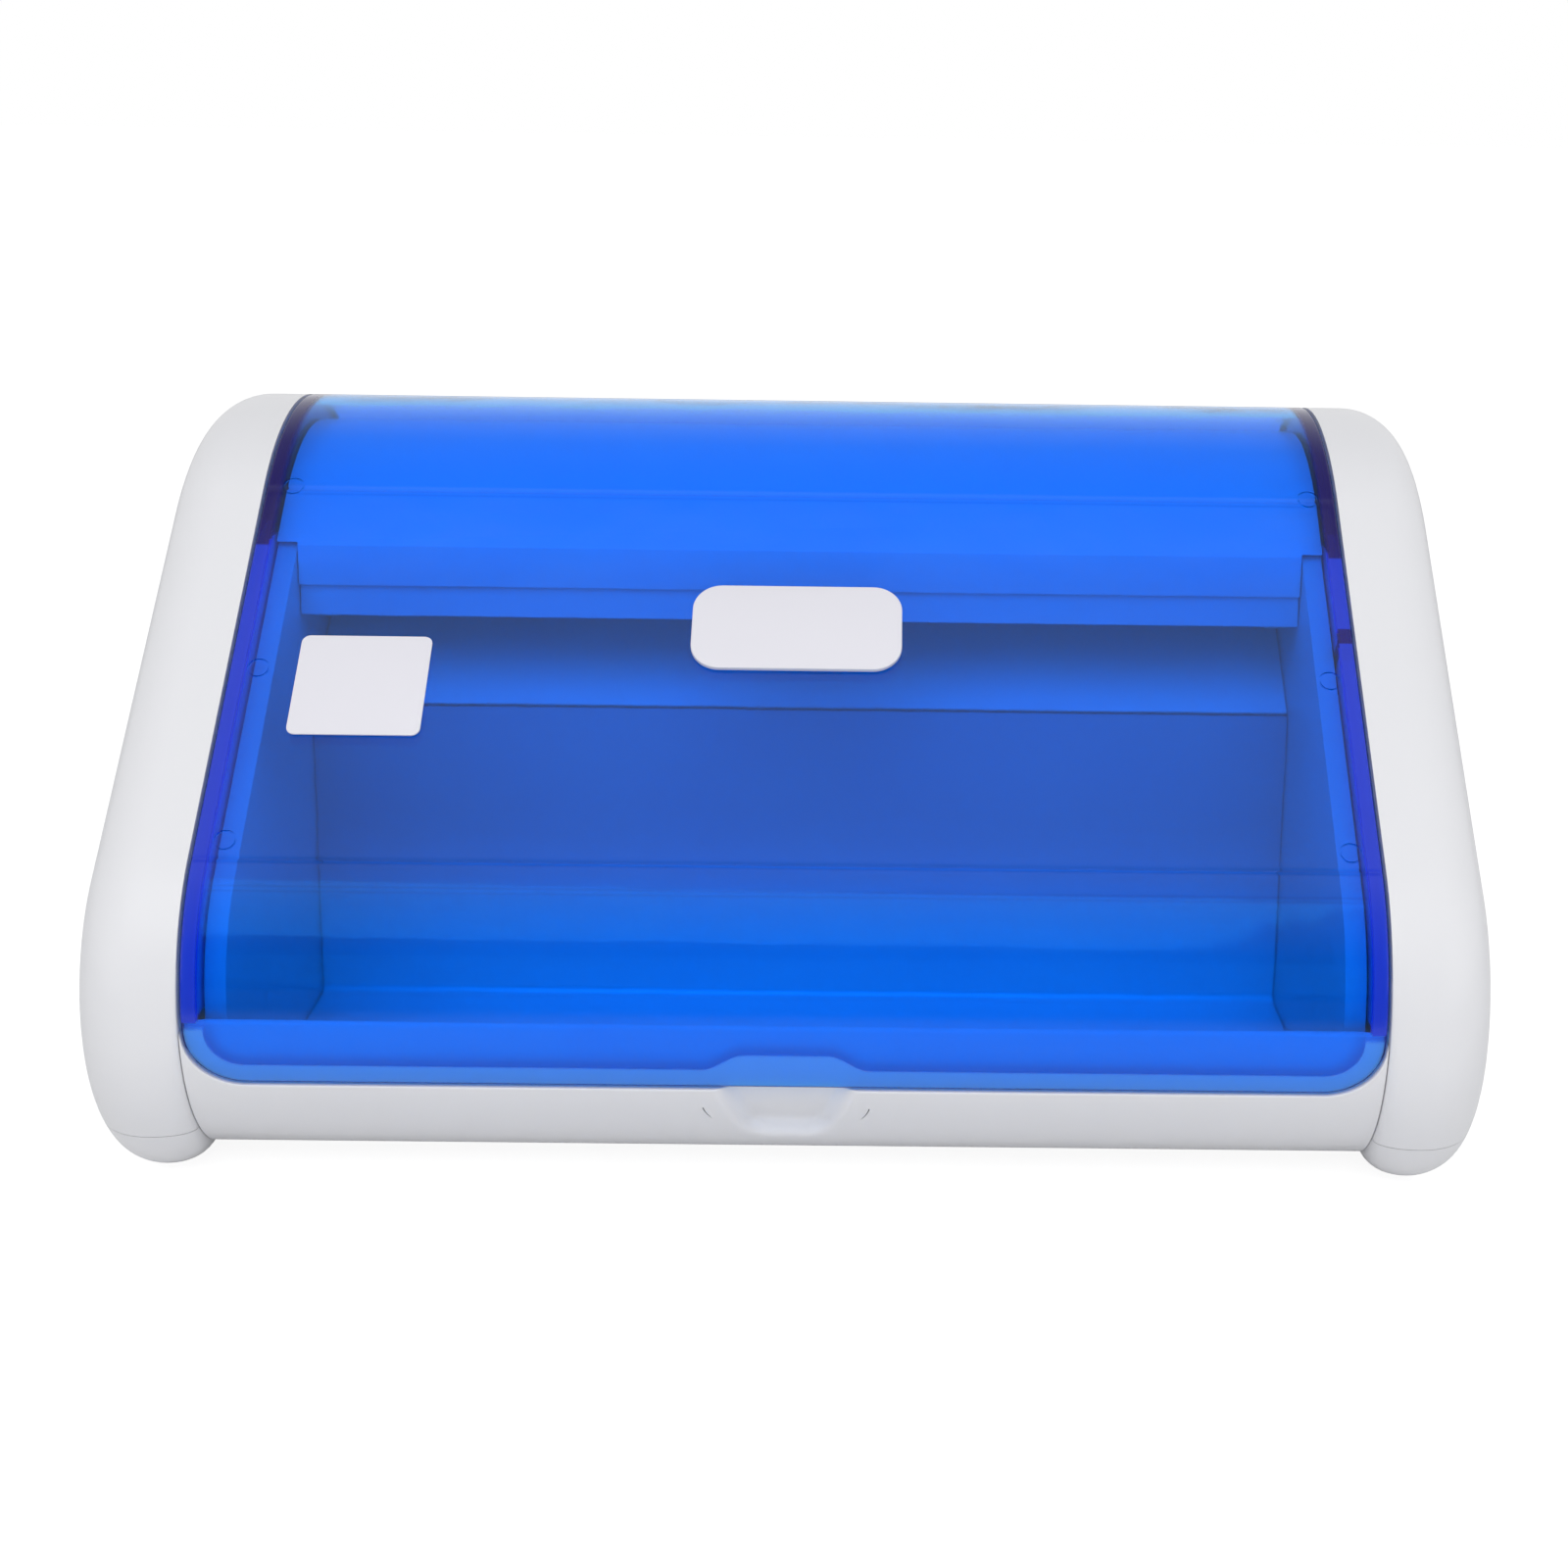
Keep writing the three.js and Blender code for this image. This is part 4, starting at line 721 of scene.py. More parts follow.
def cheekRings(inset, startX=None):
    rings = [] if startX is None else [(startX, cheekOutline(0, inset))]
    for angle in steps(0, math.pi / 2, cheek["steps"]["swell"]):
        x = across["cheekIn"] + cheek["swell"] * (1 - math.cos(angle))
        rings.append((x, cheekOutline(math.sin(angle), inset)))
    edge = cheek["edge"] - inset
    for angle in steps(0, math.pi / 2, cheek["steps"]["edge"])[1:]:
        x = across["cheekIn"] + cheek["swell"] + edge * math.sin(angle)
        rings.append((x, cheekOutline(1, inset + edge * (1 - math.cos(angle)))))
    return rings


def heightPlane(height, keepAbove):
    return place(0, 0, height), Vector((0, 0, -1 if keepAbove else 1))


# The cheek's skin runs in again over its hollow, whose mouth is at its inner face
def cheekSkin():
    rings = cheekRings(0)[::-1] + cheekRings(cheek["wall"])
    return loft(rings, [heightPlane(cheek["split"] + cheek["parting"], True)])


settlePair(cheekSkin(), "Cheek", "housing", "white_plastic", "cheek")
print("cheeks made")

pan = {
    "wall": 2.2, "stripWall": 2.5, "ribWall": 2.0, "ribSpacing": 88.0, "ribTop": 16.1, "ribEnd": 8.0,
    "ribRear": 114.0, "slot": (3.0, 32.0), "slotSpacing": 9.0, "slotCount": 6, "slotCentre": (-77.5, 177.02),
    "ballastScrews": (-121.0, 41.0), "holeRadius": 1.55, "screwDepths": (61.97, 164.96), "screwSeat": 1.5,
    "footDepths": (45.99, 182.02), "footHole": 2.7, "headRadius": 2.9,
    "past": 3.0,  # how far cutters reach out
}
panFloor = cheek["panUnderside"] + pan["wall"]
panFront = (side["noseRadius"] - math.sqrt((side["noseRadius"] - pan["stripWall"]) ** 2
            - (side["noseHeight"] - cheek["panUnderside"]) ** 2) + seatGap)
panelWall = 2.2
panRear = rearFace - panelWall - seatGap


def panCap():
    low, high, past = cheek["sole"], cheek["split"] - cheek["parting"], pan["past"]
    full = loft(cheekRings(0), [heightPlane(high, False), heightPlane(low, True)])
    hollowRings = cheekRings(cheek["wall"], across["cheekIn"] - past)
    hollow = loft(hollowRings, [heightPlane(low + cheek["wall"], True)])
    cap = combine(full, [hollow], "DIFFERENCE")
    bore = pan["headRadius"] + seatGap
    bores = [rod(aboutHeight(across["sidePost"], d), bore, -past, low + pan["screwSeat"])
             for d in pan["screwDepths"]]
    bores += [rod(aboutHeight(across["foot"], d), pan["footHole"], -past, cheek["split"])
              for d in pan["footDepths"]]
    return combine(cap, bores, "DIFFERENCE")


def basePan():
    reach, halfRib = across["cheekIn"] + cheek["wall"] / 2, pan["ribWall"] / 2
    floor = box((-reach, reach), (panFront, panRear), (cheek["panUnderside"], panFloor))
    ribDepths = (panFront + pan["ribEnd"], pan["ribRear"])
    ribs = [box((x - halfRib, x + halfRib), ribDepths, (panFloor - 1, pan["ribTop"]))
            for x in (-pan["ribSpacing"], 0, pan["ribSpacing"])]
    cap = panCap()
    body = combine(floor, [cap, mirroredMesh(cap)] + ribs, "UNION")
    width, length = pan["slot"]
    middle, depth = pan["slotCentre"]
    top = panFloor + pan["past"]
    cuts = []
    for i in range(pan["slotCount"]):
        x = middle + (i - (pan["slotCount"] - 1) / 2) * pan["slotSpacing"]
        cuts.append(box((x - width / 2, x + width / 2), (depth - length / 2, depth + length / 2), (0, top)))
    cuts += [rod(aboutHeight(x, depth), pan["holeRadius"], 0, top) for x in pan["ballastScrews"]]
    return combine(body, cuts, "DIFFERENCE")


settle(pieceFrom("basePan", basePan()), "housing", "white_plastic", "base_pan")
print("pan made")

# Front strip with its finger scoop, and the low wall that the cover closes against
front = {
    "wallTop": 54.0, "recess": 4.2, "wallInset": 6.7, "shelf": 31.5, "pocket": 35.4, "pocketSide": 162.0,
    "edge": 0.5, "overlap": 0.01,
    "scoopDepth": 4.4, "scoopLow": 16.2, "scoopHalfTop": 19.6, "scoopHalfLow": 10.4,
    "scoopFlank": (6.5, 0.8), "scoopFoot": (0.6, 7.0), "scoopFade": (36.3, 39.5), "scoopWall": 2.5,
    "bracketX": 15.0, "bracketHeight": 30.6, "bracketRadius": 8.0, "bracketWall": 0.32, "bracketDepth": 9.6,
    "bracketAngles": (math.radians(-12), math.radians(-48)),
    "steps": {"strip": 44, "edge": 4, "wall": 14, "crest": 9, "wallBack": 12, "stripBack": 20, "bracket": 8},
}


def pocketHeight(x, low, sideX):
    corner = cover["corner"]
    over = abs(x) - (sideX - corner)
    if over <= 0:
        return low
    return low + corner - math.sqrt(max(corner ** 2 - min(over, corner) ** 2, 0))


# Depth of the finger scoop at a place on the strip
def scoop(x, height):
    rise = (height - front["scoopLow"]) / (cover["lowEdge"] - front["scoopLow"])
    widening = min(max(rise, 0), 1.25) ** 0.8
    half = front["scoopHalfLow"] + (front["scoopHalfTop"] - front["scoopHalfLow"]) * widening
    (inside, outside), (below, above) = front["scoopFlank"], front["scoopFoot"]
    sideways = 1 - smoothStep(abs(x), half - inside, half + outside)
    upwards = smoothStep(height, front["scoopLow"] - below, front["scoopLow"] + above)
    return front["scoopDepth"] * sideways * upwards * (1 - smoothStep(height, *front["scoopFade"]))


def panelColumn(x):
    top = pocketHeight(x, front["pocket"], front["pocketSide"])
    edge, low, count = front["edge"], cheek["panUnderside"], front["steps"]
    points = [nosePoint(height, scoop(x, height)) for height in steps(low, top - edge, count["strip"])]
    for angle in steps(0, math.pi / 2, count["edge"])[1:]:  # the strip's rounded upper edge
        height = top - edge + edge * math.sin(angle)
        points.append(nosePoint(height, scoop(x, height) + edge * (1 - math.cos(angle))))
    points.append(nosePoint(top, max(front["recess"], scoop(x, top) + edge + 0.02)))
    crest = (front["wallInset"] - front["recess"]) / 2
    crestFoot = front["wallTop"] - crest
    for height in steps(top, crestFoot, count["wall"])[1:]:
        points.append(nosePoint(height, max(front["recess"], scoop(x, height))))
    for angle in steps(0, math.pi, count["crest"])[1:-1]:  # the wall's round top
        inset = front["recess"] + crest * (1 - math.cos(angle))
        points.append(nosePoint(crestFoot + crest * math.sin(angle), inset))
    for height in steps(crestFoot, front["shelf"], count["wallBack"]):
        points.append(nosePoint(height, max(front["wallInset"], scoop(x, height) + front["scoopWall"])))
    shelf = front["shelf"] - front["overlap"]
    for height in steps(shelf, low - front["overlap"], count["stripBack"]):
        points.append(nosePoint(max(height, low), pan["stripWall"] + scoop(x, height)))
    return points


# A short bow-shaped slit at each side of the scoop
def bracketCuts():
    outer, inner = front["bracketRadius"], front["bracketRadius"] - front["bracketWall"]
    angles = steps(*front["bracketAngles"], front["steps"]["bracket"])
    turns = [(outer, a) for a in angles] + [(inner, a) for a in angles[::-1]]
    cuts = []
    for k in (-1, 1):
        bow = [Vector((k * (front["bracketX"] + r * math.cos(a)), front["bracketHeight"] + r * math.sin(a)))
               for r, a in turns]
        cuts.append(standing(bow, -2.0, front["bracketDepth"]))
    return cuts


# Columns from the middle outwards, mirrored, in runs of (start, end, count)
def spread(marks):
    xs = []
    for start, end, count in marks:
        xs += steps(start, end, count)[:-1]
    xs.append(marks[-1][1])
    return [-x for x in xs[:0:-1]] + xs


nearScoop, cornerStart = 26, across["cover"] - cover["corner"]
columns = spread([(0, nearScoop, 40), (nearScoop, cornerStart, 8), (cornerStart, across["cover"], 22),
                  (across["cover"], across["panel"], 2)])
strip = combine(loft([(x, panelColumn(x)) for x in columns]), bracketCuts(), "DIFFERENCE")
settle(pieceFrom("frontPanel", strip, 38), "housing", "white_plastic", "front_panel")
print("front panel made")


# Transparent cover. Its outside has creases where the slope meets nose and crown,
# and a thinner lip along its edge
def lipWidth(x):
    return cover["lip"] + cover["shoulderArch"] * (1 - smoothStep(abs(x), cover["archTo"], cover["archFrom"]))


def pastCorner(x):
    return max(abs(x) - (across["cover"] - cover["corner"]), 0)


farAlong, farHeight = -99, 99  # places where no crease and no lip is near


def coverDip(x, height, along):
    below = max(cover["lowEdge"] + cover["corner"] - height, 0)
    fromEdge = cover["corner"] - math.hypot(pastCorner(x), below)
    dip = cover["shoulderStep"] * (1 - smoothStep(fromEdge, lipWidth(x) - 0.35, lipWidth(x) + 0.35))
    dip *= 1 - smoothStep(height, *cover["shoulderTop"])
    for bend, depth in cover["creases"]:
        dip += depth * math.exp(-((along - bend) / 0.7) ** 2)
    return dip


# Height of the lip's upper end in the column at x
def stepHeight(x, low, high):
    reach = cover["corner"] - lipWidth(x)
    height = cover["lowEdge"] + cover["corner"] - math.sqrt(max(reach ** 2 - pastCorner(x) ** 2, 0))
    return min(max(height, low + 0.3 * (high - low)), high - 0.3 * (high - low))


# Rings stand close together at the lip's step and at the creases
coverRings = {
    "edge": 4, "lip": 8, "shoulder": 11, "nose": 30, "noseEnd": 23, "slope": 12, "crown": 34, "rear": 30,
    "hub": 39, "inside": 30, "slopeInside": 12, "noseInside": 27, "lipInside": 20, "stepZone": 0.2 / 17.4,
    "noseCreases": (9.6, 8.7, 8.35, 8.0, 7.65, 7.3, 6.4, 2.4, 1.6, 1.1, 0.7, 0.35, 0),
    "slopeFoot": (0.35, 0.7, 1.1, 1.6, 2.4), "slopeEnds": (6, 124.5),
    "slopeHead": (128.1, 128.9, 129.4, 129.8, 130.15),
    "crownFoot": (0, 0.004, 0.008, 0.0125, 0.02, 0.03), "crownFrom": 0.05,
}
crownSpan = normalAngle - side["rearTurn"]
flangeLow = front["wallTop"] + seatGap


def coverOutside(x, low):
    count, edge = coverRings, cover["edge"]
    sideEdge = max(edge - (across["cover"] - abs(x)), 0)
    sideDip = edge - math.sqrt(max(edge ** 2 - sideEdge ** 2, 0))
    points = []
    for angle in steps(0, math.pi / 2, count["edge"]):  # rounded lower edge
        inset = cover["shoulderStep"] + edge * (1 - math.sin(angle)) + sideDip
        points.append(nosePoint(low + edge * (1 - math.cos(angle)), inset))
    lipFoot = low + edge
    step = stepHeight(x, lipFoot, flangeLow)
    clear = count["stepZone"] * (flangeLow - lipFoot)
    heights = steps(lipFoot, step - clear * 2, count["lip"])[1:]
    heights += [step + clear * (i - 4) / 2 for i in range(1, 8)]
    heights += steps(step + clear * 2, flangeLow, count["shoulder"])
    points += [nosePoint(height, coverDip(x, height, farAlong) + sideDip) for height in heights]
    start = noseAngle(flangeLow)
    angles = [start + (normalAngle - start) * (i / count["nose"]) for i in range(1, count["noseEnd"] + 1)]
    for angle in angles + [normalAngle + t / side["noseRadius"] for t in count["noseCreases"]]:
        along = (angle - normalAngle) * side["noseRadius"]
        dip = coverDip(x, farHeight, along) + sideDip
        points.append(noseCentre + turned(angle) * (side["noseRadius"] - dip))
    slopeSteps = steps(*count["slopeEnds"], count["slope"])
    for along in list(count["slopeFoot"]) + slopeSteps + list(count["slopeHead"]):
        points.append(slopePoint(along, coverDip(x, farHeight, along) + sideDip))
    for share in list(count["crownFoot"]) + steps(count["crownFrom"], 1, count["crown"]):
        along = side["slopeLength"] + side["crownRadius"] * crownSpan * share
        radius = side["crownRadius"] - coverDip(x, farHeight, along) - sideDip
        points.append(crownCentre + turned(normalAngle - crownSpan * share) * radius)
    tail = arc(hinge, side["rearRadius"] - sideDip, side["rearTurn"], cover["tail"], count["rear"])
    return points + tail[1:]


# From the tail back to the lower edge. In the flange it goes round the hub
def coverInside(x, low):
    count, wall = coverRings, cover["wall"]
    if abs(x) >= across["flangeIn"] - 1e-6:
        depth = cover["flangeDepth"]
        crownInner = side["crownRadius"] - depth
        meet = meetingAngle(crownInner, cover["hub"])
        toMeet = crownCentre + turned(meet) * crownInner - hinge
        hubEnd = math.atan2(toMeet.y, toMeet.x) - math.tau
        points = arc(hinge, cover["hub"], cover["tail"], hubEnd, count["hub"])
    else:
        depth, meet = wall, side["rearTurn"]
        crownInner = side["crownRadius"] - depth
        points = arc(hinge, side["rearRadius"] - depth, cover["tail"], meet, count["hub"])
    points += arc(crownCentre, crownInner, meet, normalAngle, count["inside"])[1:]
    points += [slopePoint(along, depth) for along in steps(side["slopeLength"], 0, count["slopeInside"])[1:]]
    innerEnd = noseAngle(flangeLow, depth)
    points += arc(noseCentre, side["noseRadius"] - depth, normalAngle, innerEnd, count["noseInside"])[1:-1]
    points.append(nosePoint(flangeLow, depth))
    for i in range(count["lipInside"] + 1):
        height = flangeLow - 0.02 - (flangeLow - low - 0.3) * i / count["lipInside"]
        points.append(nosePoint(height, wall))
    points.append(nosePoint(low, wall - 0.3))
    return points


# Angle on the crown's inner arc where it meets the hub's circle
def meetingAngle(crownInner, hubRadius):
    gap = hinge - crownCentre
    distance = gap.length
    along = (crownInner ** 2 - hubRadius ** 2 + distance ** 2) / (2 * distance)
    return math.atan2(gap.y, gap.x) + math.acos(along / crownInner)


def coverColumn(x):
    low = pocketHeight(x, cover["lowEdge"], across["cover"])
    return coverOutside(x, low) + coverInside(x, low)


def coverMesh():
    half, edge, flangeIn = across["cover"], cover["edge"], across["flangeIn"]
    xs = spread([(0, nearScoop, 26), (nearScoop, cornerStart, 6), (cornerStart, flangeIn - 0.01, 14)])
    sideXs = [flangeIn] + [half - edge + edge * math.sin(angle) for angle in steps(0, math.pi / 2, 5)]
    body = loft([(x, coverColumn(x)) for x in [-x for x in sideXs[::-1]] + xs + sideXs])
    return combine(body, [pegX(hinge, cover["pinHole"], -half - 3, half + 3), circleGrooves()], "DIFFERENCE")


# Six moulded circles, three at each side of the cover
circles = {"Radius": 0.0032, "Groove Width": 0.0004, "Groove Depth": 0.0003}
circlePlaces = {"x": 153.5, "alongs": (6.0, 64.0, 132.0)}


def skinPlace(along):
    if along <= side["slopeLength"]:
        return slopePoint(along, 0), normalAngle
    angle = normalAngle - (along - side["slopeLength"]) / side["crownRadius"]
    return crownCentre + turned(angle) * side["crownRadius"], angle


def circleGrooves():
    places = []
    for along in circlePlaces["alongs"]:
        point, angle = skinPlace(along)
        outwards = (0, math.cos(angle), math.sin(angle))
        places += [(place(k * circlePlaces["x"], point.x, point.y), outwards) for k in (-1, 1)]
    tree = NodeShape("mouldedCircles", circles, looks["blue_cover"])
    deep = tree.size("Groove Depth") * 2.0
    outer = tree.cylinder(48, tree.size("Radius"), deep)
    core = tree.cylinder(48, tree.size("Radius") - tree.size("Groove Width"), deep * 2.0)
    ring = tree.boolean("DIFFERENCE", outer, core)
    return tree.meshOf(placesMesh(places), tree.copiesAt(tree.size("Geometry"), ring))


settle(pieceFrom("coverShell", coverMesh(), 30), "cover", "blue_cover", "cover")
print("cover made")

# Plate and label on the slope: thin rounded sheets with an eased edge
sheets = {
    "namePlate": {"node": "name_plate", "size": (61.0, 30.0), "corner": 8.5,
                  "wall": 1.2, "at": (0.0, 80.0), "ease": 0.35},
    "blankLabel": {"node": "blank_label", "size": (37.5, 34.5), "corner": 2.5,
                   "wall": 0.5, "at": (-123.5, 58.0), "ease": 0.12},
}


def slopeSheet(spec):
    halfWidth, halfHeight = spec["size"][0] / 2, spec["size"][1] / 2
    x, along = spec["at"]
    ease, levels = spec["ease"], [(0, 0)]
    for angle in steps(0, math.pi / 2, 4):
        levels.append((ease * (1 - math.cos(angle)), spec["wall"] - ease + ease * math.sin(angle)))
    rings = []
    for inset, lift in levels:
        outline = roundedRectangle(halfWidth - inset, halfHeight - inset, spec["corner"] - inset, 12)
        rings.append([place(x + p.x, *slopePoint(along + p.y, -(seatGap + lift))) for p in outline])
    return skin(rings)


for name, spec in sheets.items():
    settle(pieceFrom(name, slopeSheet(spec)), "cover", "bare_plate", spec["node"])
print("plate and label made")

# Chamber
chamber = {
    "inset": 8.0, "wall": 2.0, "lampAhead": 45.0, "lampBelow": 25.0, "hoodAhead": 29.5, "lipBelow": 5.5,
    "stepAbove": 4.0, "step": 1.6,
    "linerWall": 0.8, "linerFloor": 17.2, "linerAhead": 18.0, "linerBelow": 36.0,
    "linerFront": 10.6, "linerTop": 51.0, "linerBend": 36.0, "linerToe": 25.0, "linerRadii": (6, 4, 3),
    "reflectorWall": 0.8, "reflectorRadius": 19.0, "leadHole": 2.6, "frameWall": 2.0, "frameAhead": 13.0,
}
lamp = Vector((hinge.x - chamber["lampAhead"], hinge.y - chamber["lampBelow"]))
hoodFront = lamp.x - chamber["hoodAhead"]
hoodBack = hoodFront + chamber["step"]
behindHood = hoodBack + chamber["wall"] + seatGap
linerBack = lamp.x - chamber["linerAhead"]
frameInset = chamber["inset"] + chamber["wall"] + seatGap


def lampHood():
    step = lamp.y + chamber["stepAbove"]
    path = joined(
        [Vector((hoodBack, lamp.y - chamber["lipBelow"])), Vector((hoodBack, step)),
         Vector((hoodFront, step)), Vector((hoodFront, slopeHeightAt(hoodFront, chamber["inset"])))],
        arc(crownCentre, side["crownRadius"] - chamber["inset"], normalAngle, side["rearTurn"], 36),
        arc(hinge, side["rearRadius"] - chamber["inset"], side["rearTurn"], -math.pi / 2, 30),
    )
    body = prism(sheetOutline(path, chamber["wall"]), -across["frameOut"], across["frameOut"])
    top = slopeHeightAt(behindHood, frameInset) + seatGap
    notches = [box(xs, (0, behindHood), (0, top))
               for xs in ((across["chamber"], 192), (-192, -across["chamber"]))]
    return combine(body, notches, "DIFFERENCE")


def bentCorner(before, corner, after, radius, count=6):
    first, second = (before - corner).normalized(), (after - corner).normalized()
    half = first.angle(second) / 2
    reach = radius / math.tan(half)
    centre = corner + (first + second).normalized() * (radius / math.sin(half))
    fromCentre, toCentre = corner + first * reach - centre, corner + second * reach - centre
    start, end = math.atan2(fromCentre.y, fromCentre.x), math.atan2(toCentre.y, toCentre.x)
    if end - start > math.pi:
        end -= math.tau
    if start - end > math.pi:
        end += math.tau
    return arc(centre, radius, start, end, count)


def chamberLiner():
    floor, ahead = chamber["linerFloor"], chamber["linerFront"]
    corners = [nosePoint(chamber["linerTop"], ahead), nosePoint(chamber["linerBend"], ahead),
               Vector((chamber["linerToe"], floor)), Vector((linerBack, floor)),
               Vector((linerBack, lamp.y - chamber["linerBelow"]))]
    bends = [bentCorner(*corners[i:i + 3], radius) for i, radius in enumerate(chamber["linerRadii"])]
    path = [corners[0]] + [point for bend in bends for point in bend] + [corners[-1]]
    return prism(sheetOutline(path, chamber["linerWall"]), -across["chamber"], across["chamber"])


def reflector():
    wall = chamber["reflectorWall"]
    low = Vector((linerBack + chamber["linerWall"] + seatGap,
                  lamp.y - chamber["linerBelow"] + chamber["linerWall"]))
    start = Vector((behindHood, slopeHeightAt(behindHood, frameInset + wall)))
    path = joined([low], arc(lamp, chamber["reflectorRadius"], -math.pi / 4, math.pi / 2, 30), [start])
    body = prism(sheetOutline(path, wall), -across["chamber"], across["chamber"])
    x, far = (across["chamber"] + across["lamp"] + seatGap) / 2, lamp.x + chamber["reflectorRadius"] * 2
    holes = [rod(aboutDepth(k * x, lamp.y), chamber["leadHole"], lamp.x, far, 32) for k in (-1, 1)]
    return combine(body, holes, "DIFFERENCE")


def sideFrame():
    rear = hinge.x - chamber["frameAhead"]

    def outline(inset, bottom, back):
        lobe = side["rearRadius"] - inset
        path = shellPath(inset, math.pi * 4 / 3, -math.acos((back - hinge.x) / lobe), (30, 4, 30, 30))
        return joined([Vector((path[0].x, bottom))], path, [Vector((back, bottom))])

    wall = chamber["frameWall"]
    body = prism(outline(frameInset, panFloor + seatGap, rear), across["frameIn"], across["frameOut"])
    hollowOutline = outline(frameInset + wall, 0, rear - wall)
    hollow = prism(hollowOutline, across["frameIn"] + wall, across["frameOut"] - wall)
    return combine(body, [hollow, pegX(hinge, cover["pinHole"], 140, 163)], "DIFFERENCE")


settle(rounded(pieceFrom("lampHood", lampHood()), 0.35, 2), "housing", "white_plastic", "lamp_hood")
settle(pieceFrom("chamberLiner", chamberLiner()), "housing", "brushed_steel", "chamber_liner")
settle(pieceFrom("reflectorSheet", reflector()), "housing", "polished_aluminium", "reflector")
# painted shade: the side frames inside the chamber get a darker copy of the white plastic
insideWhite = mouldedPlastic("insideWhite", (0.6, 0.61, 0.63, 1), 0.4)
for frameSide in settlePair(sideFrame(), "Frame", "housing", "white_plastic", "side_frame", (0.4, 2)):
    frameSide.data.materials[0] = insideWhite
print("chamber made")

# Side plates carry the hinge pins and the posts for the pan's and the rear panel's screws
plateWorks = {"post": 9.0, "postTop": 40.0, "postRoot": 1.1,
              "rearPost": (10.0, 12.0), "rearPostHeights": (40.1, 127.9),
              "pinRadius": 3.0, "pinHead": 5.0, "pinHeadWall": 1.6, "pinReach": 7.0, "pinEase": 0.7}


def sidePlate():
    sheet = prism(cheekOutline(0, cheek["wall"] + seatGap), across["cheekIn"], across["sidePlate"])
    half, root = plateWorks["post"] / 2, plateWorks["postRoot"]
    outside = (across["sidePlate"] - root, across["sidePlate"] + plateWorks["post"])
    posts = [box(outside, (d - half, d + half), (panFloor + pan["wall"], plateWorks["postTop"]))
             for d in pan["screwDepths"]]
    width, length = plateWorks["rearPost"]
    inside = (across["cheekIn"] - width, across["cheekIn"] + root)
    posts += [box(inside, (panRear - length, panRear), (h - width / 2, h + width / 2))
              for h in plateWorks["rearPostHeights"]]
    return combine(combine(sheet, posts, "UNION"), [pegX(hinge, cover["pinHole"], 150, 175)], "DIFFERENCE")


def hingePin():
    radius, head, ease = plateWorks["pinRadius"], plateWorks["pinHead"], plateWorks["pinEase"]
    tip, seat = across["frameOut"] - plateWorks["pinReach"], across["sidePlate"] + seatGap
    top = seat + plateWorks["pinHeadWall"]
    return lathe([(tip, radius - ease), (tip + ease, radius), (seat, radius), (seat, head), (top - 0.5, head),
                  (top, head - 0.6)], aboutX(hinge))


settlePair(sidePlate(), "InnerPlate", "housing", "white_plastic", "side_plate")
settlePair(hingePin(), "Pin", "housing", "plated_steel", "hinge_pin")
print("side plates and pins made")

# Ultraviolet tube with its caps and holders
tube = {"radius": 7.75, "glass": 0.8, "capRadius": 8.1, "capLength": 10.0,
        "pinRadius": 1.2, "pinSpacing": 4.75, "pinLength": 6.4,
        "holderHalf": 8.5, "holderTop": 14.5, "holderLow": 10.0, "bore": 4.3, "slot": 3.4}


def uvTube():
    reach = across["lamp"] - tube["capLength"] - seatGap
    places = steps(-reach, reach, 4)
    inner = tube["radius"] - tube["glass"]
    rings = [(t, tube["radius"]) for t in places] + [(t, inner) for t in places[::-1]]
    return lathe(rings, aboutX(lamp), 72, True)


def lampCap():
    end, radius = across["lamp"], tube["capRadius"]
    start = end - tube["capLength"]
    shell = lathe([
        (start, radius - 0.5), (start + 0.4, radius - 0.1), (start + 1.2, radius), (end - 4.2, radius),
        (end - 3.8, radius - 0.35), (end - 3.0, radius - 0.35), (end - 2.6, radius), (end - 0.8, radius),
        (end - 0.2, radius - 0.3), (end, radius - 1.0)], aboutX(lamp), 72)
    tip = end + tube["pinLength"]
    profile = [(end - 2, 1.2), (tip - 0.9, tube["pinRadius"]), (tip - 0.3, 0.95), (tip, 0.5)]
    pins = [lathe(profile, aboutX(lamp + Vector((0, k * tube["pinSpacing"] / 2))), 24) for k in (-1, 1)]
    return combine(shell, pins, "UNION")


def lampHolder():
    start, low = across["lamp"] + seatGap, lamp.y - tube["holderLow"]
    half, halfSlot = tube["holderHalf"], tube["slot"] / 2
    body = box((start, across["chamber"]), (lamp.x - half, lamp.x + half), (low, lamp.y + tube["holderTop"]))
    deep = across["lamp"] + tube["pinLength"] + seatGap
    slot = box((start - 3, deep), (lamp.x - halfSlot, lamp.x + halfSlot), (low - 3, lamp.y))
    return combine(body, [pegX(lamp, tube["bore"], start - 3, deep), slot], "DIFFERENCE")


settle(pieceFrom("uvTubeGlass", uvTube()), "lamp", "lamp_glass", "uv_tube")
settlePair(lampCap(), "TubeCap", "lamp", "polished_aluminium", "lamp_cap")
settlePair(lampHolder(), "TubeHolder", "housing", "cream_plastic", "lamp_holder", (0.6, 3))
print("lamp made")

# Rear panel with two rows of vents
rear = {"low": 9.0, "high": 167.1, "corner": 5.0,
        "fittingX": 118.0, "switchHeight": 62.0, "inletHeight": 30.0,
        "window": (6.9, 10.0), "inletWindow": (9.7, 5.9), "screwHole": 1.55, "screwX": across["cheekIn"] - 5}
vents = {"Slot Width": 0.003, "Slot Height": 0.026, "Spacing": 0.008, "Count": 9, "Group Offset": 0.06,
         "Centre Height": 0.108, "Panel Depth": (rearFace + depthShift) * milli, "Cut": 0.012}


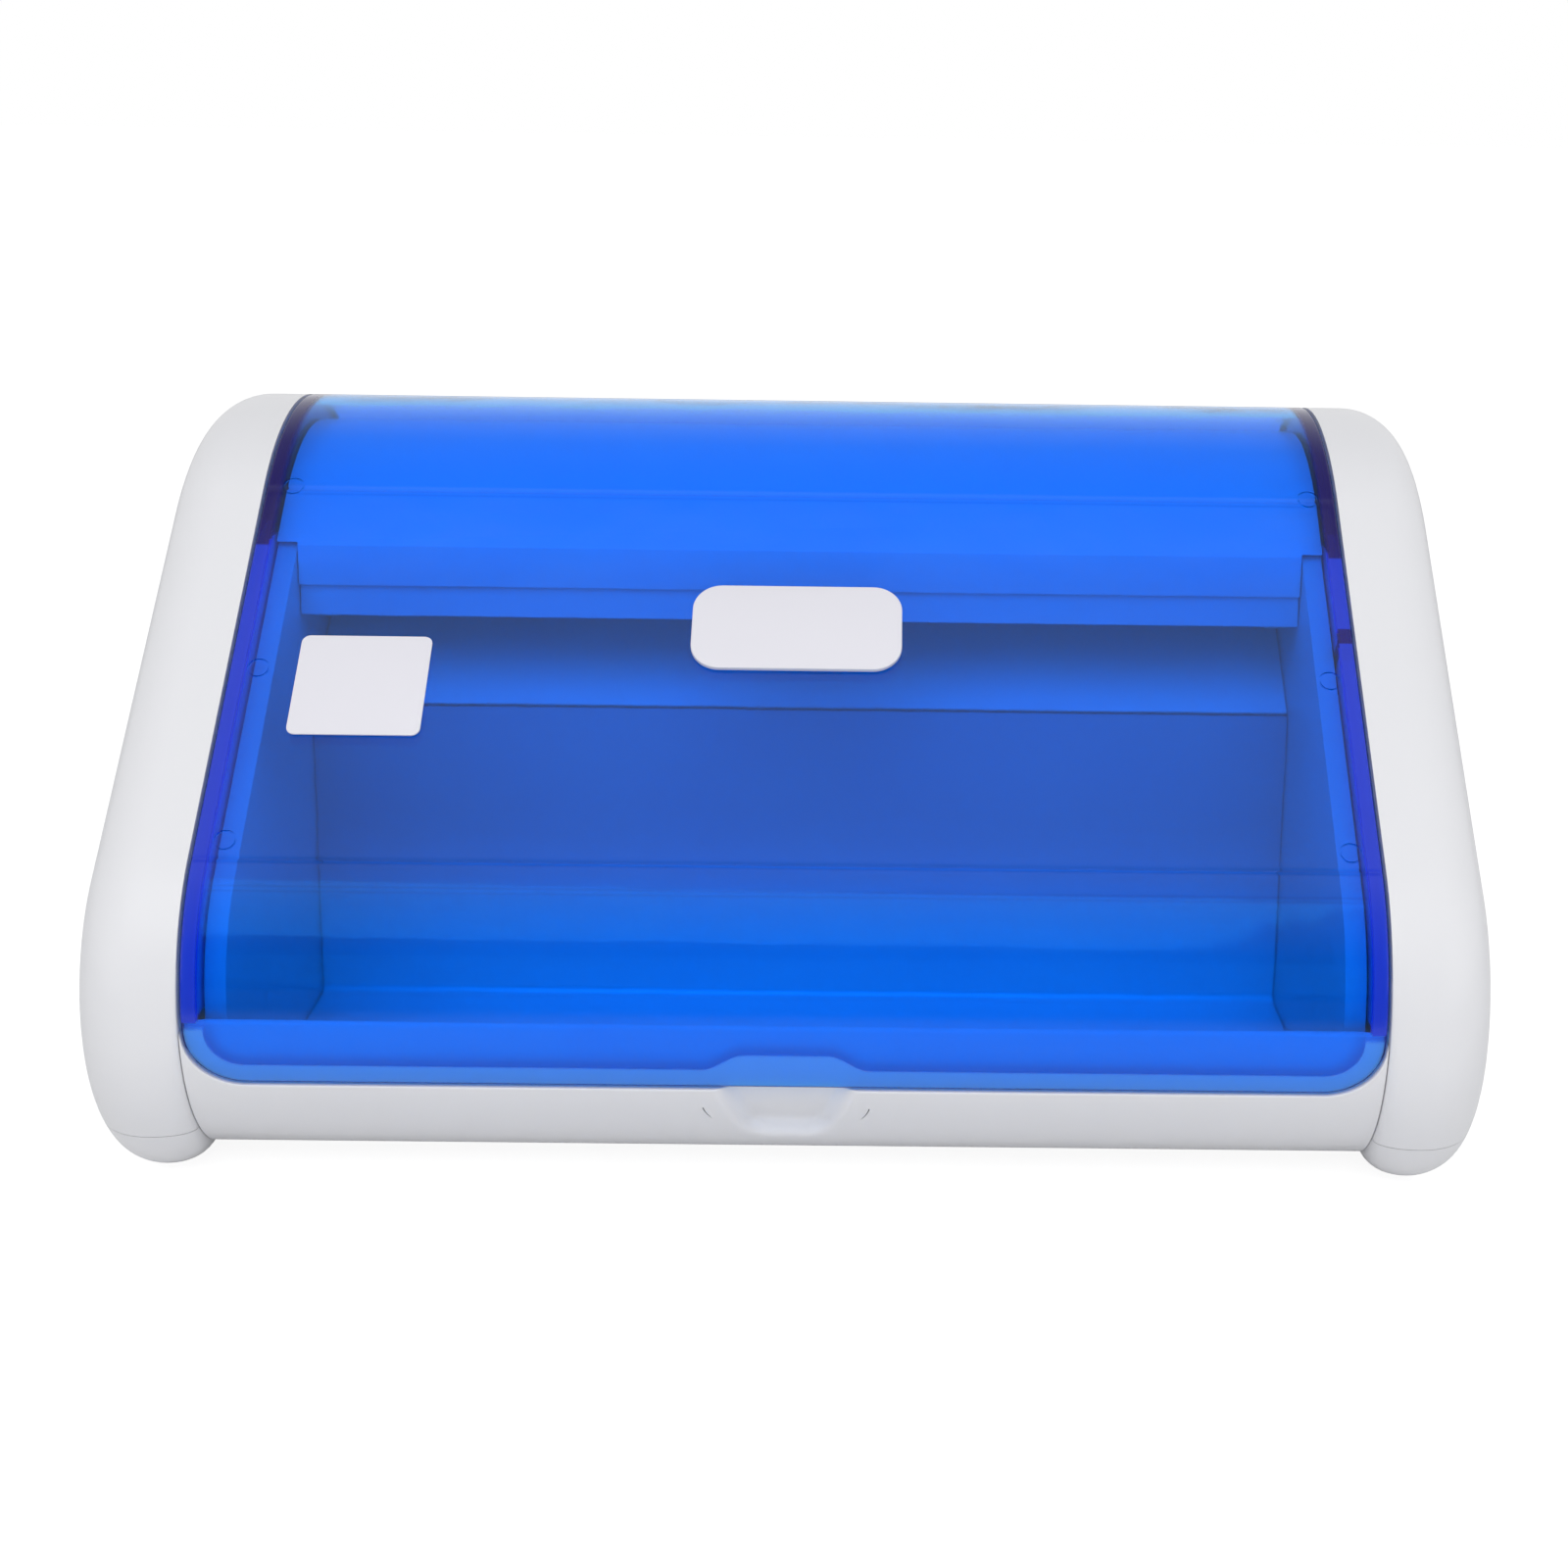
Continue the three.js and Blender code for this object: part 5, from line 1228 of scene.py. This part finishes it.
def rearPanel():
    middle, half = (rear["high"] + rear["low"]) / 2, (rear["high"] - rear["low"]) / 2
    outline = moved(roundedRectangle(across["panel"], half, rear["corner"]), 0, middle)
    sheet = standing(outline, rearFace - panelWall, rearFace)
    near, far = rearFace - panelWall - 2, rearFace + 2
    fittings = ((rear["window"], rear["switchHeight"]), (rear["inletWindow"], rear["inletHeight"]))
    windows = [standing(moved(roundedRectangle(*size, 1.0, 4), rear["fittingX"], height), near, far)
               for size, height in fittings]
    windows += [rod(aboutDepth(k * rear["screwX"], height), rear["screwHole"], near, far, 24)
                for k in (-1, 1) for height in plateWorks["rearPostHeights"]]
    tree = NodeShape("rearVents", vents, looks["white_plastic"])
    width, spacing, count, deep = (tree.size(key) for key in ("Slot Width", "Spacing", "Count", "Cut"))
    straight = tree.size("Slot Height") - width
    roundEnd = tree.cylinder(20, width * 0.5, deep)
    ends = [tree.shifted(roundEnd, tree.vector(z=straight * k), (math.pi / 2, 0, 0)) for k in (0.5, -0.5)]
    slot = tree.boolean("UNION", tree.cube(width, deep, straight), *ends)
    row = tree.node("GeometryNodeMeshLine", {"mode": "OFFSET"}, {
        "Count": count, "Start Location": tree.vector((count - 1.0) * spacing * -0.5),
        "Offset": tree.vector(spacing)})
    offset, depth, height = (tree.size(key) for key in ("Group Offset", "Panel Depth", "Centre Height"))
    groups = [tree.shifted(row, tree.vector(offset * k, depth, height)) for k in (1.0, -1.0)]
    slots = tree.node("GeometryNodeInstanceOnPoints", values={
        "Points": tree.together(*groups), "Instance": slot})
    cutter = tree.node("GeometryNodeRealizeInstances", values={"Geometry": slots})
    base = combine(sheet, windows, "DIFFERENCE")
    return tree.meshOf(base, tree.boolean("DIFFERENCE", tree.size("Geometry"), cutter))


settle(rounded(pieceFrom("rearPanel", rearPanel()), 0.3, 2), "housing", "white_plastic", "rear_panel")
print("rear panel made")

# Power switch and inlet
switch = {"flange": (7.6, 10.7), "flangeWall": 1.8, "body": (6.6, 9.7), "bodyDepth": 15.0,
          "room": (5.35, 9.0), "roomDepth": 5.6, "pivotIn": 2.0,
          "crest": 5.6, "dip": 4.2, "root": (4.0, 3.6), "rockerHalf": (5.0, 7.6),
          "tilt": math.radians(11), "trunnion": 1.2, "trunnionReach": 1.1}
inlet = {"flange": (12.4, 8.6), "flangeWall": 1.8, "barrel": (9.4, 5.6), "barrelDepth": 14.4,
         "socket": (8.0, 4.2), "socketDepth": 13.0, "pinRadius": 1.15, "pinSpacing": 8.6, "pinIn": 4.0}
pivot = Vector((rearFace - switch["pivotIn"], rear["switchHeight"]))
fittingSeat = rearFace + seatGap


def switchBezel():
    x, z = rear["fittingX"], rear["switchHeight"]
    flangeOutline = roundedRectangle(*switch["flange"], 1.4)
    bodyOutline = roundedRectangle(*switch["body"], 0.8)
    flange = standing(moved(flangeOutline, x, z), fittingSeat, fittingSeat + switch["flangeWall"])
    body = standing(moved(bodyOutline, x, z), rearFace - panelWall - switch["bodyDepth"], fittingSeat + 1)
    halfX, halfZ = switch["room"]
    room = box((x - halfX, x + halfX), (pivot.x - switch["roomDepth"], rearFace + 6), (z - halfZ, z + halfZ))
    bore = pegX(pivot, switch["trunnion"] + seatGap, x - 10, x + 10)
    return combine(combine(flange, [body], "UNION"), [room, bore], "DIFFERENCE")


def rockerPoint(out, height):
    c, s = math.cos(switch["tilt"]), math.sin(switch["tilt"])
    return Vector((pivot.x + out * c - height * s, pivot.y + out * s + height * c))


# The rocker's face is one hollow curve between its two crests
def rocker():
    reach, half = switch["rockerHalf"]
    outline = []
    for height in steps(half, -half, 24):
        hollow = switch["dip"] + (switch["crest"] - switch["dip"]) * abs(height / half) ** 1.5
        outline.append(rockerPoint(hollow, height))
    root, rootHalf = switch["root"]
    outline += [rockerPoint(-root, -rootHalf), rockerPoint(-root, rootHalf)]
    x, past = rear["fittingX"], reach + switch["trunnionReach"]
    body = prism(outline, x - reach, x + reach)
    return combine(body, [pegX(pivot, switch["trunnion"], x - past, x + past)], "UNION")


def powerInlet():
    x, z = rear["fittingX"], rear["inletHeight"]
    face = fittingSeat + inlet["flangeWall"]

    def block(size, corner, count, fromDepth, toDepth):
        return standing(moved(roundedRectangle(*size, corner, count), x, z), fromDepth, toDepth)

    barrelCorner, socketCorner = inlet["barrel"][1] - 0.01, inlet["socket"][1] - 0.01
    flange = block(inlet["flange"], 2.2, 8, fittingSeat, face)
    barrel = block(inlet["barrel"], barrelCorner, 14, face - inlet["barrelDepth"], face - 0.9)
    socket = block(inlet["socket"], socketCorner, 14, face - inlet["socketDepth"], face + 3)
    shell = combine(combine(flange, [barrel], "UNION"), [socket], "DIFFERENCE")
    radius, tip = inlet["pinRadius"], face - inlet["pinIn"]
    profile = [(face - inlet["socketDepth"] - 0.7, radius), (tip - 0.6, radius), (tip - 0.1, 0.8), (tip, 0.4)]
    pins = [lathe(profile, aboutDepth(x + k * inlet["pinSpacing"] / 2, z), 24) for k in (-1, 1)]
    return combine(shell, pins, "UNION")


settle(rounded(pieceFrom("switchFrame", switchBezel()), 0.4, 3), "housing", "black_plastic", "switch_bezel")
settle(rounded(pieceFrom("switchRocker", rocker()), 0.35, 3, 30), "rocker", "black_plastic", "rocker")
settle(rounded(pieceFrom("inletSocket", powerInlet()), 0.35, 3), "housing", "black_plastic", "power_inlet")
print("switch and inlet made")

# Interlock behind the cover's right flange, and its plunger
interlock = {"along": 88.0, "half": 9.0, "top": 19.0, "deep": 10.0, "wall": 0.6, "plungerHalf": 1.8,
             "plungerLow": 22.0, "wellBelow": 3.6}
interlockNear = across["frameOut"] + seatGap


def slopeBar(half, insets, xs):
    ends = [interlock["along"] + k * half for k in (-1, 1)]
    outline = [slopePoint(along, insets[0]) for along in ends]
    outline += [slopePoint(along, insets[1]) for along in ends[::-1]]
    return prism(outline, *xs)


def interlockBody():
    top, wall, far = interlock["top"], interlock["wall"], across["panel"]
    body = slopeBar(interlock["half"], (top, top + interlock["deep"]), (interlockNear, far))
    wellInsets = (top - 3, interlock["plungerLow"] + interlock["wellBelow"])
    well = slopeBar(interlock["plungerHalf"] + seatGap, wellInsets, (interlockNear + wall, far - wall))
    return combine(body, [well], "DIFFERENCE")


def interlockPlunger():
    margin = interlock["wall"] + seatGap
    return slopeBar(interlock["plungerHalf"], (cover["flangeDepth"] + seatGap, interlock["plungerLow"]),
                    (interlockNear + margin, across["panel"] - margin))


interlockCase = rounded(pieceFrom("interlockBody", interlockBody()), 0.25, 2)
settle(interlockCase, "housing", "black_plastic", "interlock_switch")
plungerTip = rounded(pieceFrom("plungerTip", interlockPlunger()), 0.4, 3)
settle(plungerTip, "interlock_plunger", "black_plastic", "interlock_plunger")

# Rubber feet
foot = {"radius": 6.0, "stem": 2.4, "stemTop": 7.0, "stemEase": 0.8}


def rubberFoot(depth):
    top, r, stem, ease = cheek["sole"] - seatGap, foot["radius"], foot["stem"], foot["stemEase"]
    profile = [(0, r - 1.0), (0.15, r - 0.6), (0.6, r - 0.1), (1.1, r), (top - 0.2, r), (top, r - 0.2),
               (top, stem), (foot["stemTop"] - ease, stem), (foot["stemTop"], stem - ease)]
    return lathe(profile, aboutHeight(across["foot"], depth), 48)


ends = ("front", "rear")
for end, depth in zip(ends, pan["footDepths"]):
    settlePair(rubberFoot(depth), end.capitalize() + "Foot", "housing", "black_rubber", end + "_foot")
print("interlock and feet made")

# Cross-head screws at the rear panel and under the pan. Small turns keep edges from lining up in the booleans
screwSizes = {"Head Radius": 0.0029, "Head Height": 0.0015, "Dome Radius": 0.0044, "Slot Width": 0.0007,
              "Slot Length": 0.0032, "Slot Depth": 0.0009, "Shank Radius": 0.0012, "Shank Length": 0.009,
              "Seed": 4}
panScrewSizes = dict(screwSizes, **{
    "Head Height": 0.0012, "Dome Radius": 0.0052, "Slot Depth": 0.0007, "Shank Length": 0.014})
smallTurns = {"ball": 0.03, "trim": 0.02, "blade": 0.011, "shank": 0.05}


def screwSet(name, sizes, places):
    tree = NodeShape(name, sizes, looks["plated_steel"])
    radius, height, domeRadius, slotDepth, length = (tree.size(key) for key in (
        "Head Radius", "Head Height", "Dome Radius", "Slot Depth", "Shank Length"))
    ball = tree.node("GeometryNodeMeshUVSphere", values={"Segments": 40, "Rings": 32, "Radius": domeRadius})
    ball = tree.shifted(ball, tree.vector(z=height - domeRadius), (0, 0, smallTurns["ball"]))
    dome = tree.boolean("INTERSECT", tree.cylinder(40, radius, height * 2.0), ball)
    trim = tree.cylinder(40, radius * 2.0, height * 4.0)
    trim = tree.shifted(trim, tree.vector(z=height * -2.0), (0, 0, smallTurns["trim"]))
    head = tree.boolean("DIFFERENCE", dome, trim)
    blade = tree.cube(tree.size("Slot Length"), tree.size("Slot Width"), slotDepth * 2.0)
    blades = []
    for k in (0, 1):  # the second lies a little higher
        turn = (0, 0, smallTurns["blade"] + k * math.pi / 2)
        blades.append(tree.shifted(blade, tree.vector(z=height + k * 0.00004), turn))
    driven = tree.boolean("DIFFERENCE", head, *blades)
    shank = tree.cylinder(20, tree.size("Shank Radius"), length)
    shank = tree.shifted(shank, tree.vector(z=length * -0.5 + 0.0003), (0, 0, smallTurns["shank"]))
    screw = tree.boolean("UNION", driven, shank)
    return tree.meshOf(placesMesh(places), tree.copiesAt(tree.size("Geometry"), screw, tree.size("Seed")))


sides = (("left", -1), ("right", 1))
rearPlaces = [(place(k * rear["screwX"], fittingSeat, height), (0, 1, 0))
              for _, k in sides for height in plateWorks["rearPostHeights"]]
rearHeads = screwSet("rearScrewHeads", screwSizes, rearPlaces)
settle(pieceFrom("rearScrews", rearHeads), "housing", "plated_steel",
       *(f"{name}_rear_screw_{i}" for name, _ in sides for i in (1, 2)))
panPlaces = [(place(k * across["sidePost"], depth, cheek["sole"] + 1.2), (0, 0, -1))
             for _, k in sides for depth in pan["screwDepths"]]
panHeads = screwSet("panScrewHeads", panScrewSizes, panPlaces)
settle(pieceFrom("panScrews", panHeads), "housing", "plated_steel",
       *(f"{name}_{end}_pan_screw" for name, _ in sides for end in ends))
print("screws made")

# Floor, world and lamps
stage = {
    "size": 30.0, "floorShade": 0.28, "floorGlow": 0.9, "floorBounce": 0.85,
    "floorNear": 0.9, "floorFar": 0.08,
    "tableEnd": (-0.4, -0.18),  # the pale table ends a little ahead of the box
    "world": 0.52, "worldTint": (0.98, 0.99, 1.0), "behind": 0.95, "besides": (0.35, 0.75),
    # what shines in the cover: a dim room in front, a bright panel above it, the white backdrop behind
    "mirrored": ((0.0, 0.02), (0.05, 0.05), (0.2, 0.45), (0.36, 1.0), (0.475, 1.0), (0.505, 0.42),
                 (0.75, 0.42), (0.93, 0.85), (1.0, 0.95)),
}
lamps = {
    "keyLamp": {"at": (-0.35, -1.55, 1.75), "aimHeight": 0.08, "size": (1.8, 1.4), "power": 23.0},
    "fillLamp": {"at": (1.5, -0.9, 1.3), "aimHeight": 0.08, "size": (1.4, 1.4), "power": 6.0},
    "lowLamp": {"at": (0.1, -2.2, 0.5), "aimHeight": 0.06, "size": (1.6, 0.7), "power": 2.8},
}


# The floor glows white for the camera with the object's shadow on it, and is a pale table in the reflections
def addStage():
    mesh = bpy.data.meshes.new("floor")
    half = stage["size"] / 2
    corners = [(-half, -half, 0), (half, -half, 0), (half, half, 0), (-half, half, 0)]
    mesh.from_pydata(corners, [], [(0, 1, 2, 3)])
    floor = bpy.data.objects.new("floor", mesh)
    bpy.context.scene.collection.objects.link(floor)
    finish = Finish("paleFloor")
    nearness = finish.rising(finish.axis("Y"), *stage["tableEnd"], "SMOOTHSTEP")
    table = finish.diffuse(finish.mixColor(nearness, grey(stage["floorFar"]), grey(stage["floorNear"])))
    level = stage["floorShade"]
    shade = finish.diffuse(finish.mixColor(finish.noise(3), grey(level), grey(level + 0.02)))
    glow = finish.node("ShaderNodeEmission", values={"Color": grey(1.0), "Strength": stage["floorGlow"]})
    seen = finish.node("ShaderNodeAddShader", values={0: shade, 1: glow})
    bounced = finish.mixShader(finish.ray("Glossy"), finish.diffuse(grey(stage["floorBounce"])), table)
    plain = finish.ray("Camera").atLeast(finish.ray("Transmission"))
    floor.data.materials.append(finish.done(finish.mixShader(plain, bounced, seen)))


def addWorld():
    world = bpy.data.worlds.new("world")
    bpy.context.scene.world = world
    world.use_nodes = True
    tree = Graph(world.node_tree)
    tree.tree.nodes.clear()

    def background(color, strength=1.0):
        return tree.node("ShaderNodeBackground", values={"Color": color, "Strength": strength})

    direction = tree.node("ShaderNodeTexCoord", out="Generated")
    sideways, back = tree.component(direction, "X"), tree.component(direction, "Y")
    stops = [(position, grey(level)) for position, level in stage["mirrored"]]
    room = tree.node("ShaderNodeValToRGB", {"stops": stops}, {0: back * 0.5 + 0.5})
    behind = grey(stage["behind"])
    sky = tree.mixColor(tree.rising(abs(sideways), *stage["besides"]), room, behind)
    lighting = background(grey(1.0, stage["worldTint"]), stage["world"])
    first = tree.mixShader(tree.ray("Glossy"), lighting, background(sky))
    second = tree.mixShader(tree.ray("Transmission"), first, background(behind))
    tree.output("ShaderNodeOutputWorld", tree.mixShader(tree.ray("Camera"), second, background(grey(1.0))))


def addLamp(name, spec):
    data = bpy.data.lights.new(name, "AREA")
    data.shape, data.energy = "RECTANGLE", spec["power"]
    data.size, data.size_y = spec["size"]
    lampObject = bpy.data.objects.new(name, data)
    towards = Vector((0, 0, spec["aimHeight"])) - Vector(spec["at"])
    aim = towards.to_track_quat("-Z", "Y").to_matrix().to_4x4()
    lampObject.matrix_world = Matrix.Translation(spec["at"]) @ aim
    lampObject.visible_glossy = False  # a large soft box whose own outline doesn't show in the cover
    bpy.context.scene.collection.objects.link(lampObject)


addStage()
addWorld()
for name, spec in lamps.items():
    addLamp(name, spec)
bpy.context.scene.view_settings.view_transform = "Standard"
print("stage set")
